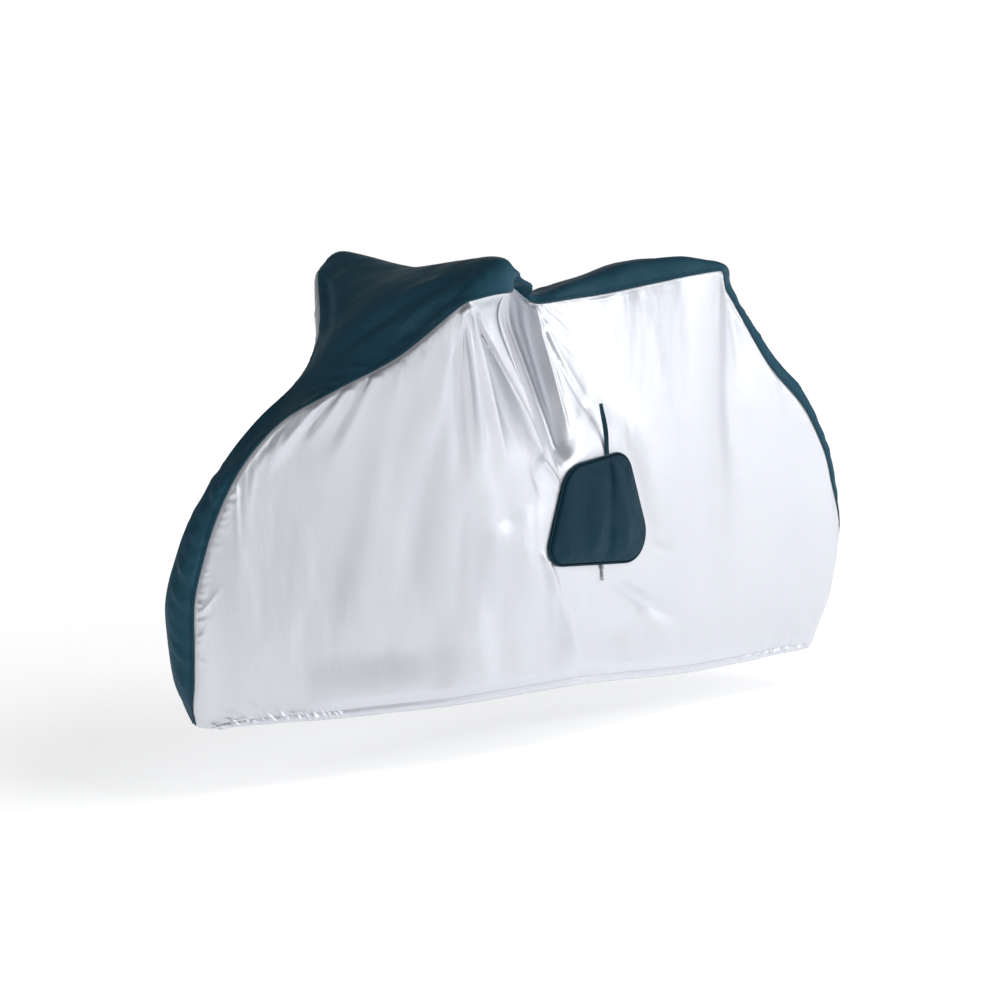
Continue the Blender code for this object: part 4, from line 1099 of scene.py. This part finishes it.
STRIP_WRINKLES = (
    ("front", 0.80, 4.80, .036, .085, .0052, -0.8),
    ("foot", 4.80, 6.40, .028, .080, .0026, 0.6),
    ("hood", 6.40, 8.60, .045, .110, .0024, 0.8),
    ("valley", 11.2, 12.4, .024, .080, .0010, -0.3),
    ("crown", 12.4, 16.6, .060, .060, .0010, -0.3),
    ("tail", 16.6, 21.6, .036, .070, .0026, 0.7),
)
STRIP_WRINKLES_BACK = (
    ("front", 0.60, 4.80, .034, .060, .0022, -0.5),
    ("foot", 4.80, 6.40, .030, .070, .0020, 0.5),
    ("hood", 6.40, 8.80, .050, .090, .0020, 0.8),
    ("valley", 9.60, 12.4, .026, .080, .0020, -0.3),
    ("crown", 12.4, 16.6, .060, .060, .0010, -0.3),
    ("tail", 16.6, 21.6, .040, .060, .0022, 0.6),
)
NAVY_NOISE = (
    ("broad", .090, .120, .0022, 13),
    ("middle", .034, .046, .0009, 15),
    ("fine", .014, .018, .00025, 18),
)


def top_row_distances(total):
    """Rows from the ridge to the seam, closer together at the seam."""
    edge = np.minimum(TOP_SEAM_ZONE[0], total * TOP_SEAM_ZONE[1])
    inner_rows = TOP_HALF_ROWS - TOP_SEAM_ZONE[2]
    return np.concatenate([
        np.linspace(0, 1, inner_rows, endpoint=False)[:, None] * (total - edge),
        total - edge + np.linspace(0, 1, TOP_SEAM_ZONE[2] + 1)[:, None] * edge,
    ])


def top_half(side, strip_rows, seed):
    """One half's sheet from the ridge to the seam (outer and inner face, UV, where it is sewn),
    and what the seam's stitches follow (outer face, normals, distance from the seam)."""
    s = station_columns(TOP_PANEL_END)
    edge = seam_v(s, side, 0.0)
    v, distance = down_the_cloth(s, np.zeros(len(s)), edge, side, top_row_distances)
    s_grid = np.broadcast_to(s, v.shape)
    place = cloth(s_grid, v, side)
    normal = normals_of(cloth, s_grid, v, side)
    from_seam = distance[-1] - distance
    ridge_length = length_along(place[0])
    across = np.stack([place[..., 1], place[..., 1], place[..., 2]], -1)
    height = fold_height(across, side, HOOD_CREASES) * window(s_grid, *HOOD_CREASE_STATIONS)
    height += puckers(from_seam, length_along(place[-1]), s, strip_rows, seed)
    height += cloth_noise(ridge_length + 0 * v, distance * side, NAVY_NOISE)
    height *= 1 - QUIET_END_LOSS * window(s_grid, *QUIET_END_STATIONS)
    # Both halves share the ridge, so what differs between them fades out there.
    at_ridge = smooth_step(0.0, RIDGE_FADE, distance / distance[-1])
    height *= at_ridge * smooth_step(*TOP_SEAM_FADE, from_seam)
    fold = 1 - smooth_step(SEAM_FOLD_WIDTH - SEAM_FOLD_STEP, SEAM_FOLD_WIDTH, from_seam)
    height += SEAM_FOLD_RAISE * fold * smooth_step(-SEAM_FOLD_EDGE, SEAM_FOLD_EDGE, from_seam)
    outer = place + normal * height[..., None]
    inner = outer - normal * CLOTH
    uv = np.stack([np.broadcast_to(ridge_length, v.shape), distance * side], -1)
    edge_mask = 1 - smooth_step(SEAM_FOLD_WIDTH, SEAM_FOLD_WIDTH + SEAM_FOLD_TONE, from_seam)
    return (outer, inner, uv, edge_mask), (outer, normal, from_seam)


near_half, near_seam = top_half(NEAR, STRIP_WRINKLES, seed=41)
far_half, far_seam = top_half(FAR, STRIP_WRINKLES_BACK, seed=43)
top_sheet = [np.concatenate([near_part[::-1], far_part[1:]])
             for near_part, far_part in zip(near_half, far_half)]

# The top panel's navy is painted lighter than the pouch's copy of the same cloth: painted light
# standing in for light that the hood doesn't get.
navy_cloth_painted_lighter = cloth_material(
    "navy_cloth_painted_lighter", (0.014, 0.060, 0.092), (0.020, 0.076, 0.115), (0.009, 0.046, 0.070),
    roughness=0.46, roughness_spread=0.14, metallic=0.0, gloss=0.10, sheen=0.02,
    threads=1200.0, weave_depth=0.00008, crumple_depth=0.0060, crumple_turn=HOOD_GRAIN_TURN)
top_panel = new_object("top_panel_cloth", sheet_mesh("top_panel_cloth", *top_sheet), navy_cloth_painted_lighter)
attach(top_panel, "root")
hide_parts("top_panel")

# Stow pouch --------------------------------------------------------------------------------
# The bag that the whole cover packs into, in the same navy cloth: a flat back sewn on the side
# panel and a fuller front, joined by a corded seam with a zip that runs round the lower edge.
POUCH_GAP = 0.0006
POUCH_BACK_INSET = 0.001
POUCH_PIPING_RADIUS = 0.0024
POUCH_RIM_HEIGHT = 0.0065
POUCH_CROWN = 0.0200
POUCH_ARC_STEPS = 12
POUCH_EDGE_STEPS = 26
POUCH_CROWN_POWERS = (2.6, 0.8)        # how full and how round the front's crown is
POUCH_RIM_SHARE = 0.02         # of the way in, over which the rim rises
POUCH_FOLD_SHARE = 0.16        # and over which the folds grow
POUCH_FRONT_INSIDE = 0.99      # the front's inner face, as a share of the outer one
POUCH_LEAST_RISE = 0.0004
POUCH_LEAST_INNER_RISE = 0.0001
POUCH_BACK_RINGS = (           # share of the outline and height of each ring
    (0.5, 0.0), (0.97, 0.0), (1.0, 0.0003), (1.0, 0.0007), (0.97, 0.001), (0.5, 0.001),
)
POUCH_RINGS = (1.0, 0.985, 0.965, 0.94, 0.91, 0.87, 0.83, 0.79, 0.75, 0.70, 0.65, 0.60, 0.55,
               0.50, 0.45, 0.40, 0.35, 0.30, 0.25, 0.20, 0.15, 0.10, 0.05)
POUCH_FOLDS = (      # pleats too, with (u, w) on the pouch for (x, z)
    ("strap_crease", .040, .118, -10, 6, .24, .0050, .0040, 1.2, -.0070, .02, .30),
    ("strap_ridge", .052, .118, -4, 18, .23, .0160, .0120, 0.8, .0050, .05, .30),
    ("middle_ridge", .010, .105, -20, 9, .22, .0140, .0200, 0.6, .0060, .10, .30),
    ("middle_hollow", -.040, .095, -17, 0, .15, .0160, .0160, 0.4, -.0062, .15, .35),
    ("corner_dent", -.168, -.072, 121, -22, .06, .0100, .0100, 0.8, -.0048, .10, .60),
    ("corner_pucker", -.150, -.085, 127, -28, .05, .0050, .0050, 0.6, .0026, .10, .60),
    ("top_dent", .108, .120, -26, -6, .07, .0080, .0080, 1.0, -.0046, .10, .60),
    ("rear_dent", .150, -.070, -129, 34, .05, .0110, .0110, 0.6, -.0046, .10, .60),
    ("rear_ripple", .140, -.010, -125, 30, .05, .0080, .0080, 0.6, -.0026, .10, .60),
    ("foot_bulge", -.060, -.112, 94, -10, .12, .0120, .0120, 0.0, .0030, .20, .20),
    ("foot_crease", -.080, -.085, 98, -13, .12, .0060, .0060, 0.2, -.0022, .25, .25),
)
POUCH_NOISE = (
    ("broad", .037, .050, .0030, 21),
    ("fine", .013, .017, .0006, 23),
)
POUCH_RIM_RIPPLE = 0.0007
POUCH_RIM_RIPPLES = 46
POUCH_RIPPLE_WANDER = (3, 5)   # how far and how often round the ripples bunch up
POUCH_RIPPLE_SHARES = (0.0, 0.05, 0.1, 0.3)


def on_pouch(u, w, out):
    """A place in the pouch's frame, out metres off the cloth."""
    u, w, out = np.broadcast_arrays(np.asarray(u, float), w, out)
    return (pouch_middle + pouch_u * u[..., None] + pouch_w * w[..., None]
            + pouch_out * out[..., None])


def shell_mesh(name, rings, closed_loop):
    """A closed body through rings of points (ring, point, 3). A loop of rings closes on
    itself, and otherwise both ends get a fan."""
    rings = np.asarray(rings)
    count, around = rings.shape[:2]
    points = rings.reshape(-1, 3) - MOUNT
    index = np.arange(count * around).reshape(count, around)
    following = np.roll(index, -1, axis=1)
    faces = []
    for ring in range(count if closed_loop else count - 1):
        there = (ring + 1) % count
        faces += np.stack([index[ring], following[ring], following[there], index[there]],
                          -1).tolist()
    if not closed_loop:
        points = np.concatenate([points, [points[index[0]].mean(0), points[index[-1]].mean(0)]])
        for ring, middle in ((0, len(points) - 2), (-1, len(points) - 1)):
            faces += [[middle, a, b] for a, b in zip(index[ring], following[ring])]
    offset = points + MOUNT - pouch_middle
    return skin_mesh(name, points, faces, np.stack([offset @ pouch_u, offset @ pouch_w], -1))


def pouch_front_height(u, w, share, around):
    """How far the front stands off its foot."""
    inwards = 1 - share
    fullness, roundness = POUCH_CROWN_POWERS
    crown = POUCH_CROWN * (1 - share**fullness) ** roundness
    middle = smooth_step(0.0, POUCH_FOLD_SHARE, inwards)
    rim = np.sqrt(np.clip(inwards, 0, POUCH_RIM_SHARE) / POUCH_RIM_SHARE)
    height = POUCH_RIM_HEIGHT * rim + crown
    height += pleat_height(u, w, POUCH_FOLDS) * middle
    height += cloth_noise(u, w, POUCH_NOISE) * middle
    wander, times = POUCH_RIPPLE_WANDER
    ripple = np.sin(around * POUCH_RIM_RIPPLES + wander * np.sin(around * times))
    return height + POUCH_RIM_RIPPLE * ripple * window(inwards, *POUCH_RIPPLE_SHARES)


pouch_foot = CLOTH + 2 * POUCH_GAP
pouch_front_inset = 2 * POUCH_PIPING_RADIUS + POUCH_GAP
front_edge = pouch_outline(pouch_front_inset, POUCH_ARC_STEPS, POUCH_EDGE_STEPS).T
around_edge = np.linspace(0, 2 * math.pi, front_edge.shape[1], endpoint=False)
front_outer = [on_pouch(*front_edge, pouch_foot)]
front_inner = [on_pouch(*front_edge * POUCH_FRONT_INSIDE, pouch_foot)]
for share in POUCH_RINGS:
    ring = front_edge * share
    off = pouch_front_height(*ring, share, around_edge)
    front_outer.append(on_pouch(*ring, pouch_foot + np.maximum(off, POUCH_LEAST_RISE)))
    front_inner.append(on_pouch(*ring * POUCH_FRONT_INSIDE, pouch_foot
                                + np.maximum(off - CLOTH, POUCH_LEAST_INNER_RISE)))
# The pouch's copy of the navy cloth keeps the darker tone; the top panel's copy of it is painted
# lighter, as painted light.
pouch_cloth = cloth_material(
    "pouch_cloth", (0.007, 0.031, 0.050), (0.010, 0.040, 0.064), (0.005, 0.024, 0.037),
    roughness=0.44, roughness_spread=0.10, metallic=0.0, gloss=0.08, sheen=0.0,
    threads=1200.0, weave_depth=0.00008, crumple_depth=0.0024)
pouch_front = new_object(
    "pouch_front_cloth", shell_mesh("pouch_front_cloth", front_inner[::-1] + front_outer, False),
    pouch_cloth)
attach(pouch_front, "root")
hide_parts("pouch_front")

back_edge = pouch_outline(POUCH_BACK_INSET, POUCH_ARC_STEPS, POUCH_EDGE_STEPS).T
back_rings = [on_pouch(*back_edge * share, POUCH_GAP + off) for share, off in POUCH_BACK_RINGS]
pouch_back = new_object(
    "pouch_back_cloth", shell_mesh("pouch_back_cloth", back_rings, False), pouch_cloth)
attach(pouch_back, "root")
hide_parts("pouch_back")

# Corded seam: a thin cord in a strip of twill, between the pouch's front and back.
PIPING_SIDES = 10
navy_webbing = cloth_material(
    "navy_webbing", (0.007, 0.030, 0.046), (0.010, 0.038, 0.058), (0.006, 0.026, 0.040),
    roughness=0.60, roughness_spread=0.10, metallic=0.0, gloss=0.10, sheen=0.02,
    threads=700.0, weave_depth=0.0002, crumple_depth=0.0004)
piping_out = pouch_foot + POUCH_PIPING_RADIUS
piping_rings = []
for step in range(PIPING_SIDES):
    angle = 2 * math.pi * step / PIPING_SIDES
    cord_edge = pouch_outline(POUCH_PIPING_RADIUS * (1 + math.cos(angle)), POUCH_ARC_STEPS,
                              POUCH_EDGE_STEPS)
    piping_rings.append(on_pouch(*cord_edge.T,
                                 piping_out + POUCH_PIPING_RADIUS * math.sin(angle)))
pouch_piping = new_object(
    "pouch_piping_cord", shell_mesh("pouch_piping_cord", piping_rings, True), navy_webbing)
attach(pouch_piping, "root")
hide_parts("pouch_piping")

# Strap loop --------------------------------------------------------------------------------
# A hanging loop of narrow polyester webbing, sewn in at the pouch's upper edge. Its two layers
# lie on each other, half turned in the middle, with the fold at the free end.
STRAP_WIDTH = 0.011
STRAP_THICKNESS = 0.0024
STRAP_U = 0.045
STRAP_LENGTH = 0.112
STRAP_LEAN = -0.010
STRAP_STAND_OFF = 0.0032
STRAP_TWIST = math.radians(38)
STRAP_STEPS = 84
STRAP_RIB = 0.05               # how much wider every second pick is
STRAP_END = 0.985              # past this share of its length the fold rounds off,
STRAP_END_THIN = 0.75          # by this much
STRAP_SECTION = (     # across and through, as shares of half the width and half the thickness
    (-.96, -.55), (-.80, -1.0), (-.40, -.94), (.0, -1.0), (.40, -.94), (.80, -1.0), (.96, -.55),
    (.90, 0.0), (.96, .55), (.80, 1.0), (.40, .94), (.0, 1.0), (-.40, .94), (-.80, 1.0),
    (-.96, .55), (-.90, 0.0),
)


def edge_w(u, low, high):
    """Height of the pouch's straight edge at u, between two of its corners."""
    low_corner = POUCH_CORNERS[low]
    high_corner = POUCH_CORNERS[high]
    rise = (high_corner[2] - low_corner[2]) / (high_corner[1] - low_corner[1])
    return low_corner[2] + rise * (u - low_corner[1])


strap_foot_w = edge_w(STRAP_U, 3, 0) + POUCH_GAP
section_across, section_through = (
    np.array(STRAP_SECTION) * (STRAP_WIDTH / 2, STRAP_THICKNESS / 2)).T
strap_rings = []
for step in range(STRAP_STEPS + 1):
    share = step / STRAP_STEPS
    turn = STRAP_TWIST * math.sin(math.pi * share) ** 2
    lift = STRAP_STAND_OFF + STRAP_WIDTH / 2 * math.sin(turn)
    past_end = max(0.0, (share - STRAP_END) / (1 - STRAP_END))
    through = section_through * math.sqrt(1 - STRAP_END_THIN * past_end**2)
    rib = 1 + STRAP_RIB * (step % 2)
    strap_u = (STRAP_U + STRAP_LEAN * share + section_across * math.cos(turn) * rib
               - through * math.sin(turn))
    strap_out = lift + section_across * math.sin(turn) + through * math.cos(turn)
    strap_rings.append(on_pouch(strap_u, strap_foot_w + STRAP_LENGTH * share, strap_out))
strap_loop = new_object(
    "strap_loop_webbing", shell_mesh("strap_loop_webbing", strap_rings, False), navy_webbing)
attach(strap_loop, "root")
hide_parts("strap_loop")

# Zip ---------------------------------------------------------------------------------------
# A coil zip round the pouch's lower edge, with a small nickel slider and a flat puller.
ZIP_U = 0.000
SLIDER_SIZE = (0.008, 0.010, 0.0040)
SLIDER_CORNER = 0.0016
SLIDER_STEPS = 5
SLIDER_LOOPS = (      # share of its size and height of each loop, with a groove half way up
    (0.86, 0.0), (0.97, 0.0004), (1.0, 0.0010), (1.0, 0.0014), (0.80, 0.0018),
    (0.80, 0.0023), (1.0, 0.0027), (1.0, 0.0032), (0.92, 0.0038), (0.60, 0.0040),
)
PULLER_SIZE = (0.0068, 0.0240, 0.0016)
PULLER_CORNERS = (0.0024, 0.0021)      # at its side, and where its bevels start
PULLER_HOLE = (0.0032, 0.0060)
HOLE_CORNERS = (0.0015, 0.0017)
PULLER_STEPS = 8
PULLER_RIM = 0.0020
METAL_BEVEL = 0.0004
METAL_ROUGHNESS = (0.24, 0.16)         # the least, and how much more the grain adds

zip_metal, metal_tree, metal_shader = new_material("zip_nickel")
metal_place = add_node(metal_tree, "ShaderNodeTexCoord")
metal_noise = add_node(metal_tree, "ShaderNodeTexNoise", {
    "Vector": metal_place.outputs["Object"], "Scale": 900.0, "Detail": 3.0})
metal_grain = math_node(metal_tree, "MULTIPLY", metal_noise.outputs["Fac"], METAL_ROUGHNESS[1])
fill_inputs(metal_tree, metal_shader, {
    "Base Color": (0.20, 0.21, 0.22, 1.0), "Metallic": 1.0,
    "Roughness": math_node(metal_tree, "ADD", METAL_ROUGHNESS[0], metal_grain)})


def rounded_box(width, length, centre_w, corner, steps):
    """A rounded rectangle about (ZIP_U, centre_w), as its u and its w."""
    points = []
    for side_u, side_w, first in ((1, 1, 0), (-1, 1, 90), (-1, -1, 180), (1, -1, 270)):
        for step in range(steps + 1):
            angle = math.radians(first + 90 * step / steps)
            points.append((ZIP_U + side_u * (width / 2 - corner) + corner * math.cos(angle),
                           centre_w + side_w * (length / 2 - corner) + corner * math.sin(angle)))
    return np.array(points).T


zip_edge_w = edge_w(ZIP_U, 2, 1)
slider_w = zip_edge_w - SLIDER_SIZE[1] / 2 - POUCH_GAP
slider_loops = [
    on_pouch(*rounded_box(SLIDER_SIZE[0] * share, SLIDER_SIZE[1] * share, slider_w,
                          SLIDER_CORNER * share, SLIDER_STEPS), POUCH_GAP + off)
    for share, off in SLIDER_LOOPS]
zip_slider = new_object(
    "zip_slider_body", shell_mesh("zip_slider_body", slider_loops, False), zip_metal)
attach(zip_slider, "root")
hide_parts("zip_slider")

puller_top = zip_edge_w - SLIDER_SIZE[1] - 2 * POUCH_GAP
puller_w = puller_top - PULLER_SIZE[1] / 2
hole_w = puller_top - PULLER_SIZE[1] + PULLER_RIM + PULLER_HOLE[1] / 2
outer_loop = rounded_box(*PULLER_SIZE[:2], puller_w, PULLER_CORNERS[0], PULLER_STEPS)
outer_less = rounded_box(PULLER_SIZE[0] - 2 * METAL_BEVEL, PULLER_SIZE[1] - 2 * METAL_BEVEL,
                         puller_w, PULLER_CORNERS[1], PULLER_STEPS)
hole_loop = rounded_box(*PULLER_HOLE, hole_w, HOLE_CORNERS[0], PULLER_STEPS)
hole_more = rounded_box(PULLER_HOLE[0] + 2 * METAL_BEVEL, PULLER_HOLE[1] + 2 * METAL_BEVEL,
                        hole_w, HOLE_CORNERS[1], PULLER_STEPS)
puller_base = 2 * POUCH_GAP
puller_face = puller_base + PULLER_SIZE[2]
puller_loops = [on_pouch(*loop, out) for loop, out in (
    (outer_less, puller_base), (outer_loop, puller_base + METAL_BEVEL),
    (outer_loop, puller_face - METAL_BEVEL), (outer_less, puller_face),
    (hole_more, puller_face), (hole_loop, puller_face - METAL_BEVEL),
    (hole_loop, puller_base + METAL_BEVEL), (hole_more, puller_base))]
zip_puller = new_object(
    "zip_puller_plate", shell_mesh("zip_puller_plate", puller_loops, True), zip_metal)
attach(zip_puller, "root")
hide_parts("zip_puller")


def row_along(name, points, grain, pitch, size, material):
    """Geometry Nodes: small rounded pieces along a path, pitch apart, turned along it."""
    path = bpy.data.meshes.new(name + "_path")
    path.from_pydata((np.asarray(points) - MOUNT).tolist(),
                     [(i, i + 1) for i in range(len(points) - 1)], [])
    thing = bpy.data.objects.new(name, path)
    bpy.context.scene.collection.objects.link(thing)
    tree, given, result = node_group(
        name + "_row", "GeometryNodeTree",
        [("Geometry", "NodeSocketGeometry", None), ("Pitch", "NodeSocketFloat", pitch),
         ("Size", "NodeSocketVector", size), ("Material", "NodeSocketMaterial", None)],
        [("Geometry", "NodeSocketGeometry")])
    curve = add_node(tree, "GeometryNodeMeshToCurve", {"Mesh": given.outputs["Geometry"]})
    resample = add_node(tree, "GeometryNodeResampleCurve", {
        "Curve": curve.outputs["Curve"], "Length": given.outputs["Pitch"]}, mode="LENGTH")
    piece = add_node(tree, "GeometryNodeMeshUVSphere", {
        "Segments": grain[0], "Rings": grain[1], "Radius": 0.5})
    tangent = add_node(tree, "GeometryNodeInputTangent")
    turn = add_node(tree, "FunctionNodeAlignRotationToVector", {
        "Vector": tangent.outputs["Tangent"]}, axis="X")
    place = add_node(tree, "GeometryNodeInstanceOnPoints", {
        "Points": resample.outputs["Curve"], "Instance": piece.outputs["Mesh"],
        "Scale": given.outputs["Size"], "Rotation": turn.outputs["Rotation"]})
    realize = add_node(tree, "GeometryNodeRealizeInstances", {
        "Geometry": place.outputs["Instances"]})
    paint = add_node(tree, "GeometryNodeSetMaterial", {
        "Geometry": realize.outputs["Geometry"], "Material": given.outputs["Material"]})
    fill_inputs(tree, result, {"Geometry": paint.outputs["Geometry"]})
    modifier = thing.modifiers.new("row", "NODES")
    modifier.node_group = tree
    values = {"Pitch": pitch, "Size": size, "Material": material}
    for item in tree.interface.items_tree:
        if item.in_out == "INPUT" and item.name in values:
            modifier[item.identifier] = values[item.name]
    seen = thing.evaluated_get(bpy.context.evaluated_depsgraph_get())
    plain = bpy.data.meshes.new_from_object(seen)
    if not plain.polygons:
        raise ValueError(name + " came out empty")
    thing.modifiers.remove(modifier)
    thing.data = plain
    plain.name = name
    plain.shade_smooth()
    return thing


# The zip's coil shows as a fine row of teeth between the cord and the front.
ZIP_COIL_SPAN = (0.30, 0.72)           # shares of the way round
ZIP_COIL_INSET = 0.0006
ZIP_COIL_LIFT = 0.0024
TOOTH_GRAIN = (6, 4)
TOOTH_PITCH = 0.0014
TOOTH_SIZE = (0.0007, 0.0022, 0.0016)
coil_edge = pouch_outline(pouch_front_inset - ZIP_COIL_INSET, POUCH_ARC_STEPS, POUCH_EDGE_STEPS)
coil_first, coil_last = (int(len(coil_edge) * share) for share in ZIP_COIL_SPAN)
zip_coil = row_along("zip_coil", on_pouch(*coil_edge[coil_first:coil_last].T,
                                          pouch_foot + ZIP_COIL_LIFT),
                     TOOTH_GRAIN, TOOTH_PITCH, TOOTH_SIZE, navy_webbing)
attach(zip_coil, "root")

# Stitching ---------------------------------------------------------------------------------
# Lockstitch in polyester thread: one row beside the seam on each side of the navy top, one
# above the hem's elastic and one round the pouch's front, beside the cord.
STITCH_PITCH = 0.0034
STITCH_SIZE = (0.0027, 0.00075, 0.00065)
STITCH_GRAIN = (5, 3)
STITCH_LIFT = 0.0001
POUCH_STITCH_SHARE = 0.955     # of the way from the pouch front's middle to its edge
SEAM_STITCH_INSET = 0.0042
THREAD_COLUMNS = "name red green blue".split()
THREADS = (
    ("navy_thread", 0.010, 0.040, 0.056),
    ("grey_thread", 0.090, 0.100, 0.125),
)
THREAD_TONES = (0.75, 1.20)    # darkest and lightest, against its colour
thread = {}
for spool in named(THREAD_COLUMNS, THREADS):
    yarn, yarn_tree, yarn_shader = new_material(spool["name"])
    yarn_place = add_node(yarn_tree, "ShaderNodeTexCoord")
    yarn_wave = add_node(yarn_tree, "ShaderNodeTexNoise", {
        "Vector": yarn_place.outputs["Object"], "Scale": 2200.0})
    dark_yarn, light_yarn = (
        (*(tone * spool[part] for part in ("red", "green", "blue")), 1.0)
        for tone in THREAD_TONES)
    yarn_mix = add_node(yarn_tree, "ShaderNodeMix", {
        "Factor": yarn_wave.outputs["Fac"], "A": dark_yarn, "B": light_yarn}, data_type="RGBA")
    fill_inputs(yarn_tree, yarn_shader, {
        "Roughness": 0.55, "Base Color": yarn_mix.outputs["Result"]})
    thread[spool["name"]] = yarn


def line_on(guide, distance):
    """Points on a panel at one distance from its edge, just off it. The guide holds its outer
    face, the normals and the distance of each point from the edge."""
    outer, normal, from_edge = guide
    lifted = outer + normal * STITCH_LIFT
    line = []
    for column in range(outer.shape[1]):
        order = np.argsort(from_edge[:, column])
        depth = from_edge[order, column]
        if depth[-1] >= distance:
            line.append([np.interp(distance, depth, lifted[order, column, axis])
                         for axis in range(3)])
    return np.array(line)


pouch_row = front_edge * POUCH_STITCH_SHARE
pouch_row_height = pouch_front_height(*pouch_row, POUCH_STITCH_SHARE, around_edge)
STITCH_ROWS = (
    ("seam_stitch_near", line_on(near_seam, SEAM_STITCH_INSET), "navy_thread", "dark_cloth"),
    ("seam_stitch_far", line_on(far_seam, SEAM_STITCH_INSET), "navy_thread", "dark_cloth"),
    ("hem_stitch_near", line_on(near_hem, HEM_WIDTH), "grey_thread", "light_cloth"),
    ("hem_stitch_far", line_on(far_hem, HEM_WIDTH), "grey_thread", "light_cloth"),
    ("pouch_stitch", on_pouch(*pouch_row, pouch_foot + STITCH_LIFT + pouch_row_height),
     "navy_thread", "dark_cloth"),
)
for stitch_name, stitch_line, stitch_thread, stitch_slot in STITCH_ROWS:
    stitches = row_along(stitch_name, stitch_line, STITCH_GRAIN, STITCH_PITCH, STITCH_SIZE,
                         thread[stitch_thread])
    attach(stitches, "root")
